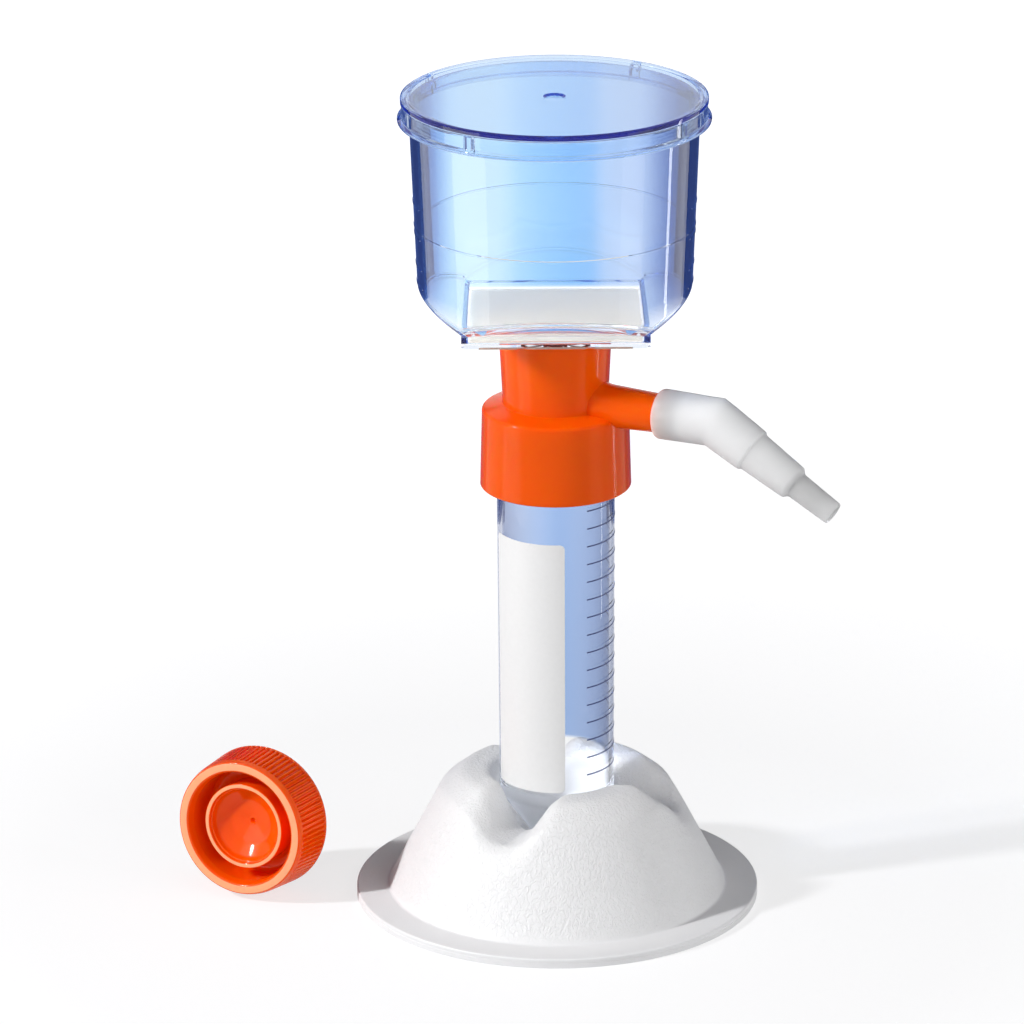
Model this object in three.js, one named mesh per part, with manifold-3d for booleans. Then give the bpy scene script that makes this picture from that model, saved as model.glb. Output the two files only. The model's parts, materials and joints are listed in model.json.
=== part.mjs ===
// Vacuum filtration unit: a clear square-well filter funnel on a threaded orange collar,
// screwed to a conical sample tube that stands in a moulded white stand, with the tube's
// own closure lying beside it. Millimetres, +Z up.
import * as THREE from "three";
import { mergeVertices } from "three/addons/utils/BufferGeometryUtils.js";
import Module from "manifold-3d";

const wasm = await Module();
wasm.setup();

// ---------------------------------------------------------------- driving dimensions
const GAP = 0.3;                  // clearance where two pieces touch
const SEGMENTS = 64;              // facets round the large turned shapes
const SMALL_SEGMENTS = 40;        // facets round the small turned shapes

const EDGE = 0.5;                 // small break on outer edges

const TUBE_LENGTH = 111.5;        // closed tip to open rim
const TUBE_TOP_RADIUS = 14.5;
const TUBE_DRAFT = 0.35;          // how much smaller the body is above the cone
const TUBE_NECK_STEP = 0.75;      // how far the thread's root is set in from the body
const TUBE_NECK_HEIGHT = 14.5;
const TUBE_WALL = 1.2;
const TUBE_FLOOR = 1.7;
const TUBE_CONE_HEIGHT = 15.5;
const TUBE_TIP_RADIUS = 3.2;

const STAND_HEIGHT = 32.6;
const STAND_WALL = 2.2;
const STAND_FLANGE_RADIUS = 50.1;
const STAND_FLANGE_THICKNESS = 2.4;
const STAND_FLANGE_BREAK = 0.8;       // sloping edge of the flange
const STAND_CONE_BASE_RADIUS = 42.3;
const STAND_CONE_FILLET = 1.0;        // where the cone meets the flange
const STAND_SHOULDER_RADIUS = 28.6;   // where the cone meets the rounded crest
const STAND_SHOULDER_HEIGHT = 28.6;
const STAND_CREST_RADIUS = 23.4;
const STAND_UNDERSIDE = 9.3;          // floor to the underside of the well
const WELL_CLEARANCE = 0.6;
const CHANNEL_FLOOR_HEIGHT = 21.8;
const CHANNEL_FLOOR_HALF_WIDTH = 5.4;
const CHANNEL_TOP_HALF_WIDTH = 9.2;
const CHANNEL_CORNER = 1.6;
const CHANNEL_AZIMUTHS = [-117, -3, 104];

const COLLAR_THREAD_ROOM = 2.55;      // from the root of the tube's thread to the skirt's bore
const COLLAR_WALL = 1.7;
const COLLAR_TAPER = 0.55;            // how much wider the skirt is at its lower edge
const COLLAR_SKIRT_HEIGHT = 19.9;
const COLLAR_TOP_BREAK = 1.2;
const COLLAR_ENGAGEMENT = 15.8;       // tube rim above the lower edge of the skirt
const GASKET_THICKNESS = 1.2;
const GASKET_SETBACK = 0.4;           // inner edge of the gasket outside the neck's bore
const NECK_LOWER_RADIUS = 13.3;
const NECK_FLARE = 0.6;               // how much wider the neck is at its top
const NECK_HEIGHT = 21.6;             // above the top of the skirt
const NECK_ROOT = 0.6;                // fillet between skirt and neck
const NECK_WALL = 1.9;

const SIDEARM_AZIMUTH = -27.5;
const SIDEARM_ROOT_RADIUS = 5.2;
const SIDEARM_TIP_RADIUS = 4.6;
const SIDEARM_BORE_RADIUS = 3.2;
const SIDEARM_BORE_START = 2;         // inside the wall of the neck's bore
const SIDEARM_HEIGHT = 2.4;           // axis above the top of the skirt
const SIDEARM_LENGTH = 34.0;          // from the unit's axis to the open end

const CONNECTOR_OVERLAP = 5.5;        // how far it is pushed over the sidearm
const CONNECTOR_ENTRY_LENGTH = 14.7;  // mouth to the bend
const CONNECTOR_BEND = 30.5;          // degrees
const CONNECTOR_MOUTH_RADIUS = 6.15;
const CONNECTOR_BEND_RADIUS = 6.0;
const CONNECTOR_STEPS = [             // distance from the bend, outer radius
  [11.4, 5.65], [12.1, 5.1], [24.0, 4.4], [25.4, 3.25], [36.6, 2.9],
];
const CONNECTOR_BORE_RADIUS = 2.1;
const CONNECTOR_BORE_TAPER = 1;       // half the length of the step down to the bore

const SQUARE_HALF = 22.7;             // square foot of the funnel and its support plate
const PLATE_THICKNESS = 1.2;
const PLATE_SPIGOT_DEPTH = 6;
const PLATE_SPIGOT_WALL = 1.4;
const PLATE_NOZZLE_RADIUS = 3.8;
const PLATE_NOZZLE_TAPER = 0.6;
const PLATE_NOZZLE_BORE = 2.4;
const PLATE_NOZZLE_DEPTH = 12;
const PLATE_RECESS_MARGIN = 2.6;      // recess inside the well's walls
const PLATE_RECESS_DEPTH = 0.7;
const PLATE_RIB_WIDTH = 1.0;
const PLATE_RIB_PITCH = 4.6;
const MEMBRANE_THICKNESS = 0.35;

const FUNNEL_WALL = 1.6;
const FUNNEL_TOP_RADIUS = 35.2;
const FUNNEL_LOW_RADIUS = 33.4;
const FUNNEL_HEIGHT = 53.6;           // underside of the square foot to the rim
const FUNNEL_FOOT_HEIGHT = 1.6;
const FUNNEL_FILLET = 4.0;
const FUNNEL_FLOOR_SLOPE = 24;        // degrees
const WELL_DEPTH = 2.4;

const LID_PLATE = 1.5;
const LID_SKIRT_CLEARANCE = 0.7;      // skirt to the funnel's rim
const LID_SKIRT_WALL = 1.0;
const LID_SKIRT_STEP = 0.2;           // skirt set in from the plate's edge
const LID_SKIRT_DEPTH = 4.6;
const LID_LIP_OVERHANG = 0.8;
const LID_LIP_HEIGHT = 0.9;
const LID_RIM_WIDTH = 1.4;            // raised crest round the panel
const LID_RIM_HEIGHT = 0.4;
const LID_RIB_WIDTH = 2.2;
const LID_RIB_AZIMUTHS = [-124, -34, 56, 146];
const LID_DIMPLE_RADIUS = 2.6;
const LID_DIMPLE_SLOPE = 0.8;
const LID_DIMPLE_DEPTH = 0.5;

const CAP_CLEARANCE = 0.35;           // cap bore to the root of the tube's thread
const CAP_WALL = 3.0;
const CAP_FLARE = 1.1;                // how much wider the body is than the open rim
const CAP_FLARE_HEIGHT = 1.4;
const CAP_HEIGHT = 13.2;
const CAP_TOP = 1.8;
const CAP_TOP_BREAK = 1.0;
const CAP_PLUG_CLEARANCE = 1.65;      // plug ring to the tube's inner wall
const CAP_PLUG_WALL = 1.7;
const CAP_PLUG_SETBACK = 2.2;         // plug ring below the open rim
const CAP_DISH_DEPTH = 4.8;
const CAP_DISH_CORNER = 2.5;
const CAP_STAND_GAP = 10.4;           // cap's centre and radius clear of the flange
const CAP_FORWARD = 5.2;              // open rim's centre in front of the stand's axis
const CAP_AZIMUTH = -27;              // turn of the closed end from +Y towards +X

// ---------------------------------------------------------------- radii worked out
const TUBE_NECK_RADIUS = TUBE_TOP_RADIUS - TUBE_NECK_STEP;
const TUBE_BOTTOM_RADIUS = TUBE_TOP_RADIUS - TUBE_DRAFT;
const COLLAR_BORE_RADIUS = TUBE_NECK_RADIUS + COLLAR_THREAD_ROOM;
const COLLAR_UPPER_RADIUS = COLLAR_BORE_RADIUS + COLLAR_WALL;
const COLLAR_LOWER_RADIUS = COLLAR_UPPER_RADIUS + COLLAR_TAPER;
const NECK_BORE_RADIUS = NECK_LOWER_RADIUS - NECK_WALL;
const NECK_UPPER_RADIUS = NECK_LOWER_RADIUS + NECK_FLARE;
const GASKET_INNER_RADIUS = NECK_BORE_RADIUS + GASKET_SETBACK;
const WELL_HALF = SQUARE_HALF - FUNNEL_WALL;
const PLATE_RECESS_HALF = WELL_HALF - PLATE_RECESS_MARGIN;
const LID_SKIRT_INNER = FUNNEL_TOP_RADIUS + LID_SKIRT_CLEARANCE;
const LID_SKIRT_OUTER = LID_SKIRT_INNER + LID_SKIRT_WALL;
const LID_RADIUS = LID_SKIRT_OUTER + LID_SKIRT_STEP;
const LID_LIP_RADIUS = LID_RADIUS + LID_LIP_OVERHANG;
const CAP_BORE_RADIUS = TUBE_NECK_RADIUS + CAP_CLEARANCE;
const CAP_RIM_RADIUS = CAP_BORE_RADIUS + CAP_WALL;
const CAP_BODY_RADIUS = CAP_RIM_RADIUS + CAP_FLARE;
const CAP_PLUG_RADIUS = TUBE_NECK_RADIUS - TUBE_WALL - CAP_PLUG_CLEARANCE;

// ---------------------------------------------------------------- levels worked out
const TUBE_TIP_Z = STAND_UNDERSIDE + STAND_WALL + GAP;
const TUBE_RIM_Z = TUBE_TIP_Z + TUBE_LENGTH;
const SKIRT_BOTTOM_Z = TUBE_RIM_Z - COLLAR_ENGAGEMENT;
const SKIRT_TOP_Z = SKIRT_BOTTOM_Z + COLLAR_SKIRT_HEIGHT;
const GASKET_Z = TUBE_RIM_Z + GAP;
const COLLAR_CEILING_Z = GASKET_Z + GASKET_THICKNESS + GAP;
const NECK_TOP_Z = SKIRT_TOP_Z + NECK_HEIGHT;
const SIDEARM_Z = SKIRT_TOP_Z + SIDEARM_HEIGHT;
const PLATE_Z = NECK_TOP_Z + GAP;
const PLATE_TOP_Z = PLATE_Z + PLATE_THICKNESS;
const FUNNEL_Z = PLATE_TOP_Z + GAP;
const FUNNEL_RIM_Z = FUNNEL_Z + FUNNEL_HEIGHT;
const LID_UNDERSIDE_Z = FUNNEL_RIM_Z + GAP;
const LID_TOP_Z = LID_UNDERSIDE_Z + LID_PLATE;
const LID_PANEL_Z = LID_TOP_Z - LID_RIM_HEIGHT;

// ---------------------------------------------------------------- solid helpers
const radians = THREE.MathUtils.degToRad;
const cutOverrun = 1;             // how far a cutting shape runs past the face it opens

function solid(geometry) {
  let shape = geometry.clone();
  shape.deleteAttribute("normal");
  shape.deleteAttribute("uv");
  shape = mergeVertices(shape, 1e-4);
  const mesh = new wasm.Mesh({
    numProp: 3,
    vertProperties: new Float32Array(shape.attributes.position.array),
    triVerts: new Uint32Array(shape.index.array),
  });
  mesh.merge();
  return new wasm.Manifold(mesh);
}

// Closed profile of [radius, height] points turned about +Z.
function turned(profile, segments = SEGMENTS) {
  const points = profile.map(([r, z]) => new THREE.Vector2(Math.max(r, 0), z));
  points.push(points[0].clone());
  const geometry = new THREE.LatheGeometry(points, segments);
  geometry.rotateX(Math.PI / 2);
  return solid(geometry);
}

function block(sizeX, sizeY, sizeZ, x = 0, y = 0, z = 0) {
  return solid(new THREE.BoxGeometry(sizeX, sizeY, sizeZ).translate(x, y, z));
}

// Outline in the XY plane pushed up along +Z.
function pushed(outline, height) {
  const shape = new THREE.Shape(outline.map(([x, y]) => new THREE.Vector2(x, y)));
  return solid(new THREE.ExtrudeGeometry(shape, { depth: height, bevelEnabled: false }));
}

// Points on an arc about [r, z], from one angle to another in degrees.
function arc(centre, radius, from, to, steps) {
  const points = [];
  for (let i = 0; i <= steps; i += 1) {
    const a = radians(from + ((to - from) * i) / steps);
    points.push([centre[0] + radius * Math.cos(a), centre[1] + radius * Math.sin(a)]);
  }
  return points;
}

function toMesh(name, shape, colour, roughness, extra = {}) {
  const data = shape.getMesh();
  const geometry = new THREE.BufferGeometry();
  geometry.setAttribute("position", new THREE.BufferAttribute(new Float32Array(data.vertProperties), 3));
  geometry.setIndex(new THREE.BufferAttribute(new Uint32Array(data.triVerts), 1));
  geometry.computeVertexNormals();
  const material = new THREE.MeshStandardMaterial({ color: colour, roughness, metalness: 0, ...extra });
  const mesh = new THREE.Mesh(geometry, material);
  mesh.name = name;
  return mesh;
}

// ---------------------------------------------------------------- stand
// Rounded crest between the cone's shoulder and the mouth of the well.
function crestPoints(inset) {
  const rise = STAND_HEIGHT - STAND_SHOULDER_HEIGHT;
  const run = STAND_SHOULDER_RADIUS - STAND_CREST_RADIUS;
  const points = [];
  for (let i = 0; i <= 5; i += 1) {
    const a = radians(18 * i);
    points.push([
      STAND_CREST_RADIUS + run * Math.cos(a),
      STAND_SHOULDER_HEIGHT + rise * Math.sin(a) - inset,
    ]);
  }
  return points;
}

// Round well that the tube's conical end drops into, grown by a wall.
function wellSolid(grow, topZ) {
  const radius = TUBE_TOP_RADIUS + WELL_CLEARANCE + grow;
  const floor = TUBE_TIP_Z - GAP - grow;
  return turned([
    [0, floor],
    [TUBE_TIP_RADIUS + WELL_CLEARANCE + grow, floor],
    [radius, floor + TUBE_CONE_HEIGHT],
    [radius, topZ],
    [0, topZ],
  ]);
}

// One radial channel that lets the tube be seen and gripped, grown by a wall.
function channelSolid(azimuth, grow) {
  const floor = CHANNEL_FLOOR_HEIGHT - grow;
  const low = CHANNEL_FLOOR_HALF_WIDTH + grow;
  const high = CHANNEL_TOP_HALF_WIDTH + grow;
  const top = STAND_HEIGHT + cutOverrun;
  const outline = [
    [-low + CHANNEL_CORNER, floor], [low - CHANNEL_CORNER, floor], [low, floor + CHANNEL_CORNER],
    [high, top], [-high, top], [-low, floor + CHANNEL_CORNER],
  ];
  return pushed(outline, STAND_FLANGE_RADIUS)
    .rotate([90, 0, 90])
    .rotate([0, 0, azimuth]);
}

function makeStand() {
  const slope = (STAND_CONE_BASE_RADIUS - STAND_SHOULDER_RADIUS)
    / (STAND_SHOULDER_HEIGHT - STAND_FLANGE_THICKNESS);
  const outer = turned([
    [0, 0],
    [STAND_FLANGE_RADIUS, 0],
    [STAND_FLANGE_RADIUS, STAND_FLANGE_THICKNESS - 2 * STAND_FLANGE_BREAK],
    [STAND_FLANGE_RADIUS - STAND_FLANGE_BREAK, STAND_FLANGE_THICKNESS],
    [STAND_CONE_BASE_RADIUS + STAND_CONE_FILLET, STAND_FLANGE_THICKNESS],
    [STAND_CONE_BASE_RADIUS - slope * STAND_CONE_FILLET, STAND_FLANGE_THICKNESS + STAND_CONE_FILLET],
    ...crestPoints(0),
    [0, STAND_HEIGHT],
  ]);
  const innerShoulder = STAND_SHOULDER_HEIGHT - STAND_WALL;
  const wallRun = STAND_WALL * Math.sqrt(1 + slope * slope);
  const innerRadiusAt = (z) => STAND_SHOULDER_RADIUS + slope * (STAND_SHOULDER_HEIGHT - z) - wallRun;
  const hollow = turned([
    [0, -cutOverrun],
    [innerRadiusAt(-cutOverrun), -cutOverrun],
    [innerRadiusAt(innerShoulder), innerShoulder],
    [STAND_CREST_RADIUS, STAND_HEIGHT - STAND_WALL],
    [0, STAND_HEIGHT - STAND_WALL],
  ]);
  let walls = wellSolid(STAND_WALL, STAND_HEIGHT + cutOverrun);
  let voids = wellSolid(0, STAND_HEIGHT + cutOverrun);
  for (const azimuth of CHANNEL_AZIMUTHS) {
    walls = walls.add(channelSolid(azimuth, STAND_WALL));
    voids = voids.add(channelSolid(azimuth, 0));
  }
  const shape = outer.subtract(hollow.subtract(walls)).subtract(voids);
  return toMesh("stand", shape, 0xf3f4f6, 0.85);
}

// ---------------------------------------------------------------- tube and its cap
function makeTube() {
  const coneTop = TUBE_TIP_Z + TUBE_CONE_HEIGHT;
  const shoulder = TUBE_RIM_Z - TUBE_NECK_HEIGHT;
  const shape = turned([
    [0, TUBE_TIP_Z],
    [TUBE_TIP_RADIUS, TUBE_TIP_Z],
    [TUBE_BOTTOM_RADIUS - EDGE, coneTop - EDGE],
    [TUBE_BOTTOM_RADIUS, coneTop + EDGE],
    [TUBE_TOP_RADIUS, shoulder],
    [TUBE_NECK_RADIUS, shoulder + TUBE_NECK_STEP],
    [TUBE_NECK_RADIUS, TUBE_RIM_Z],
    [TUBE_NECK_RADIUS - TUBE_WALL, TUBE_RIM_Z],
    [TUBE_NECK_RADIUS - TUBE_WALL, shoulder],
    [TUBE_TOP_RADIUS - TUBE_WALL, shoulder - TUBE_NECK_STEP],
    [TUBE_BOTTOM_RADIUS - TUBE_WALL, coneTop + EDGE],
    [TUBE_TIP_RADIUS - EDGE, TUBE_TIP_Z + TUBE_FLOOR],
    [0, TUBE_TIP_Z + TUBE_FLOOR],
  ]);
  return toMesh("tube", shape, 0xc9dcf2, 0.08, { transparent: true, opacity: 0.35 });
}

// The cap is modelled closed end up about +Z, then stood on its edge.
function makeCap() {
  const plugInner = CAP_PLUG_RADIUS - CAP_PLUG_WALL;
  const ceiling = CAP_HEIGHT - CAP_TOP;
  const dish = CAP_PLUG_SETBACK + CAP_DISH_DEPTH;
  const shape = turned([
    [0, dish],
    [plugInner - CAP_DISH_CORNER, dish],
    [plugInner, dish - CAP_DISH_CORNER],
    [plugInner, CAP_PLUG_SETBACK],
    [CAP_PLUG_RADIUS, CAP_PLUG_SETBACK],
    [CAP_PLUG_RADIUS, ceiling],
    [CAP_BORE_RADIUS, ceiling],
    [CAP_BORE_RADIUS, 0],
    [CAP_RIM_RADIUS, 0],
    [CAP_BODY_RADIUS, CAP_FLARE_HEIGHT],
    [CAP_BODY_RADIUS, CAP_HEIGHT - CAP_TOP_BREAK],
    [CAP_BODY_RADIUS - CAP_TOP_BREAK, CAP_HEIGHT],
    [0, CAP_HEIGHT],
  ]);
  const mesh = toMesh("cap", shape, 0xf0541a, 0.3);
  const sideways = STAND_FLANGE_RADIUS + CAP_STAND_GAP + CAP_BODY_RADIUS;
  mesh.position.set(-sideways, -CAP_FORWARD, CAP_BODY_RADIUS);
  mesh.rotation.order = "ZXY";
  mesh.rotation.set(-Math.PI / 2, 0, radians(CAP_AZIMUTH));
  return mesh;
}

// ---------------------------------------------------------------- collar
function makeCollar() {
  const topCorner = [COLLAR_UPPER_RADIUS - COLLAR_TOP_BREAK, SKIRT_TOP_Z - COLLAR_TOP_BREAK];
  const body = turned([
    [0, SKIRT_BOTTOM_Z],
    [COLLAR_LOWER_RADIUS - EDGE, SKIRT_BOTTOM_Z],
    [COLLAR_LOWER_RADIUS, SKIRT_BOTTOM_Z + EDGE],
    ...arc(topCorner, COLLAR_TOP_BREAK, 0, 90, 3),
    [NECK_LOWER_RADIUS + NECK_ROOT, SKIRT_TOP_Z],
    [NECK_LOWER_RADIUS, SKIRT_TOP_Z + NECK_ROOT],
    [NECK_UPPER_RADIUS, NECK_TOP_Z],
    [0, NECK_TOP_Z],
  ]);
  const bores = turned([
    [0, SKIRT_BOTTOM_Z - cutOverrun],
    [COLLAR_BORE_RADIUS, SKIRT_BOTTOM_Z - cutOverrun],
    [COLLAR_BORE_RADIUS, COLLAR_CEILING_Z],
    [NECK_BORE_RADIUS, COLLAR_CEILING_Z],
    [NECK_BORE_RADIUS, NECK_TOP_Z + cutOverrun],
    [0, NECK_TOP_Z + cutOverrun],
  ]);
  const arm = alongSidearm(turned([
    [0, 0],
    [SIDEARM_ROOT_RADIUS, 0],
    [SIDEARM_TIP_RADIUS, SIDEARM_LENGTH],
    [0, SIDEARM_LENGTH],
  ], SMALL_SEGMENTS));
  const armBore = alongSidearm(turned([
    [0, NECK_BORE_RADIUS - SIDEARM_BORE_START],
    [SIDEARM_BORE_RADIUS, NECK_BORE_RADIUS - SIDEARM_BORE_START],
    [SIDEARM_BORE_RADIUS, SIDEARM_LENGTH + cutOverrun],
    [0, SIDEARM_LENGTH + cutOverrun],
  ], SMALL_SEGMENTS));
  const shape = body.add(arm).subtract(bores).subtract(armBore);
  return toMesh("collar", shape, 0xf0541a, 0.25);
}

// Lays a solid made along +Z onto the sidearm's axis.
function alongSidearm(shape) {
  return shape.rotate([0, 90, 0]).rotate([0, 0, SIDEARM_AZIMUTH]).translate([0, 0, SIDEARM_Z]);
}

function makeGasket() {
  const outer = COLLAR_BORE_RADIUS - GAP;
  const shape = turned([
    [GASKET_INNER_RADIUS, GASKET_Z],
    [outer, GASKET_Z],
    [outer, GASKET_Z + GASKET_THICKNESS],
    [GASKET_INNER_RADIUS, GASKET_Z + GASKET_THICKNESS],
  ], SMALL_SEGMENTS);
  return toMesh("collar_gasket", shape, 0xdedbd2, 0.7);
}

// ---------------------------------------------------------------- hose connector
// Made about +Z from its mouth up, bent towards +X, then laid on the sidearm's axis.
function makeHoseConnector() {
  const bend = CONNECTOR_ENTRY_LENGTH;
  const tipLength = CONNECTOR_STEPS[CONNECTOR_STEPS.length - 1][0];
  const reach = 4 * CONNECTOR_MOUTH_RADIUS;
  const entry = turned([
    [0, 0],
    [CONNECTOR_MOUTH_RADIUS - EDGE, 0],
    [CONNECTOR_MOUTH_RADIUS, EDGE],
    [CONNECTOR_BEND_RADIUS, bend],
    [CONNECTOR_BEND_RADIUS, bend + CONNECTOR_BEND_RADIUS],
    [0, bend + CONNECTOR_BEND_RADIUS],
  ], SMALL_SEGMENTS);
  const exit = turned([
    [0, -CONNECTOR_BEND_RADIUS],
    [CONNECTOR_BEND_RADIUS, -CONNECTOR_BEND_RADIUS],
    [CONNECTOR_BEND_RADIUS, 0],
    ...CONNECTOR_STEPS.map(([along, radius]) => [radius, along]),
    [0, tipLength],
  ], SMALL_SEGMENTS);
  const mitreOverlap = 0.02;
  const size = 4 * reach;
  const keepBelow = block(size, size, size, 0, 0, mitreOverlap - size / 2)
    .rotate([0, CONNECTOR_BEND / 2, 0]).translate([0, 0, bend]);
  const keepAbove = block(size, size, size, 0, 0, size / 2)
    .rotate([0, CONNECTOR_BEND / 2, 0]).translate([0, 0, bend]);
  const turnExit = (shape) => shape.rotate([0, CONNECTOR_BEND, 0]).translate([0, 0, bend]);
  const socketRadius = SIDEARM_TIP_RADIUS + GAP
    + (SIDEARM_ROOT_RADIUS - SIDEARM_TIP_RADIUS) * (CONNECTOR_OVERLAP / SIDEARM_LENGTH);
  const socket = turned([
    [0, -cutOverrun],
    [socketRadius, -cutOverrun],
    [socketRadius, CONNECTOR_OVERLAP + GAP],
    [SIDEARM_BORE_RADIUS, CONNECTOR_OVERLAP + GAP],
    [SIDEARM_BORE_RADIUS, bend - CONNECTOR_BORE_TAPER],
    [CONNECTOR_BORE_RADIUS, bend + CONNECTOR_BORE_TAPER],
    [0, bend + CONNECTOR_BORE_TAPER],
  ], SMALL_SEGMENTS);
  const exitBore = turnExit(turned([
    [0, -EDGE],
    [CONNECTOR_BORE_RADIUS, -EDGE],
    [CONNECTOR_BORE_RADIUS, tipLength + cutOverrun],
    [0, tipLength + cutOverrun],
  ], SMALL_SEGMENTS));
  const shape = entry.intersect(keepBelow)
    .add(turnExit(exit).intersect(keepAbove))
    .subtract(socket)
    .subtract(exitBore);
  const placed = alongSidearm(shape.translate([0, 0, SIDEARM_LENGTH - CONNECTOR_OVERLAP]));
  return toMesh("hose_connector", placed, 0xe9edf2, 0.45);
}

// ---------------------------------------------------------------- filter bed
function makeSupportPlate() {
  const side = 2 * SQUARE_HALF;
  const spigotRadius = NECK_BORE_RADIUS - GAP;
  const recessFloor = PLATE_TOP_Z - PLATE_RECESS_DEPTH;
  const recessSide = 2 * PLATE_RECESS_HALF;
  const recessHeight = PLATE_RECESS_DEPTH + cutOverrun;
  let shape = block(side, side, PLATE_THICKNESS, 0, 0, PLATE_Z + PLATE_THICKNESS / 2);
  shape = shape.subtract(
    block(recessSide, recessSide, recessHeight, 0, 0, recessFloor + recessHeight / 2),
  );
  const ribCount = Math.floor(PLATE_RECESS_HALF / PLATE_RIB_PITCH);
  const ribLength = recessSide - 2 * PLATE_RIB_WIDTH;
  for (let i = -ribCount; i <= ribCount; i += 1) {
    if (i === 0) continue;
    const x = i * PLATE_RIB_PITCH;
    shape = shape.add(block(
      PLATE_RIB_WIDTH, ribLength, PLATE_THICKNESS, x, 0, PLATE_Z + PLATE_THICKNESS / 2,
    ));
  }
  const spigot = turned([
    [spigotRadius - PLATE_SPIGOT_WALL, PLATE_Z - PLATE_SPIGOT_DEPTH],
    [spigotRadius, PLATE_Z - PLATE_SPIGOT_DEPTH],
    [spigotRadius, recessFloor],
    [spigotRadius - PLATE_SPIGOT_WALL, recessFloor],
  ], SMALL_SEGMENTS);
  const nozzle = turned([
    [0, PLATE_Z - PLATE_NOZZLE_DEPTH],
    [PLATE_NOZZLE_RADIUS - PLATE_NOZZLE_TAPER, PLATE_Z - PLATE_NOZZLE_DEPTH],
    [PLATE_NOZZLE_RADIUS, recessFloor],
    [0, recessFloor],
  ], SMALL_SEGMENTS);
  const drain = turned([
    [0, PLATE_Z - PLATE_NOZZLE_DEPTH - cutOverrun],
    [PLATE_NOZZLE_BORE, PLATE_Z - PLATE_NOZZLE_DEPTH - cutOverrun],
    [PLATE_NOZZLE_BORE, PLATE_TOP_Z + cutOverrun],
    [0, PLATE_TOP_Z + cutOverrun],
  ], SMALL_SEGMENTS);
  shape = shape.add(spigot).add(nozzle).subtract(drain);
  return toMesh("support_plate", shape, 0xdfe9f6, 0.1, { transparent: true, opacity: 0.35 });
}

function makeMembrane() {
  const side = 2 * (WELL_HALF - GAP);
  const shape = block(side, side, MEMBRANE_THICKNESS, 0, 0, FUNNEL_Z + MEMBRANE_THICKNESS / 2);
  return toMesh("membrane", shape, 0xfbfbfa, 0.9);
}

// ---------------------------------------------------------------- funnel
// Everything above four planes that rise outwards from a square's edges.
function aboveFacets(half, z) {
  const spread = 2 * FUNNEL_TOP_RADIUS;
  const rise = spread * Math.tan(radians(FUNNEL_FLOOR_SLOPE));
  const corner = Math.SQRT2;
  return turned([
    [0, z],
    [half * corner, z],
    [(half + spread) * corner, z + rise],
    [(half + spread) * corner, FUNNEL_RIM_Z + FUNNEL_HEIGHT],
    [0, FUNNEL_RIM_Z + FUNNEL_HEIGHT],
  ], 4).rotate([0, 0, 45]);
}

// Turned bowl whose wall is filleted into the sloping floor at the middle of each side.
function bowl(inset, low, high) {
  const slope = radians(FUNNEL_FLOOR_SLOPE);
  const centreR = FUNNEL_LOW_RADIUS - FUNNEL_FILLET;
  const tangentR = centreR + FUNNEL_FILLET * Math.sin(slope);
  const tangentZ = FUNNEL_Z + FUNNEL_FOOT_HEIGHT + (tangentR - SQUARE_HALF) * Math.tan(slope);
  const centreZ = tangentZ + FUNNEL_FILLET * Math.cos(slope);
  return turned([
    [0, low],
    [centreR, low],
    ...arc([centreR, centreZ], FUNNEL_FILLET - inset, FUNNEL_FLOOR_SLOPE - 90, 0, 5),
    [FUNNEL_TOP_RADIUS - inset, FUNNEL_RIM_Z],
    [FUNNEL_TOP_RADIUS - inset, high],
    [0, high],
  ]);
}

function makeFunnel() {
  const side = 2 * SQUARE_HALF;
  const wellSide = 2 * WELL_HALF;
  const footTop = FUNNEL_Z + FUNNEL_FOOT_HEIGHT;
  const wellTop = FUNNEL_Z + WELL_DEPTH;
  const blockTop = footTop + FUNNEL_FILLET;
  const inWall = turned([
    [0, FUNNEL_Z - cutOverrun],
    [FUNNEL_LOW_RADIUS, FUNNEL_Z - cutOverrun],
    [FUNNEL_LOW_RADIUS, blockTop],
    [0, blockTop],
  ]);
  const inBore = inWall.intersect(turned([
    [0, FUNNEL_Z - cutOverrun],
    [FUNNEL_LOW_RADIUS - FUNNEL_WALL, FUNNEL_Z - cutOverrun],
    [FUNNEL_LOW_RADIUS - FUNNEL_WALL, blockTop],
    [0, blockTop],
  ]));
  const foot = block(side, side, blockTop - FUNNEL_Z, 0, 0, (FUNNEL_Z + blockTop) / 2).intersect(inWall);
  const well = block(
    wellSide, wellSide, blockTop - FUNNEL_Z + cutOverrun,
    0, 0, (FUNNEL_Z + blockTop - cutOverrun) / 2,
  ).intersect(inBore);
  const outside = bowl(0, FUNNEL_Z, FUNNEL_RIM_Z).intersect(aboveFacets(SQUARE_HALF, footTop)).add(foot);
  const inside = bowl(FUNNEL_WALL, FUNNEL_Z, FUNNEL_RIM_Z + cutOverrun)
    .intersect(aboveFacets(WELL_HALF, wellTop)).add(well);
  return toMesh("funnel", outside.subtract(inside), 0xd5e4f7, 0.06, { transparent: true, opacity: 0.3 });
}

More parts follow.
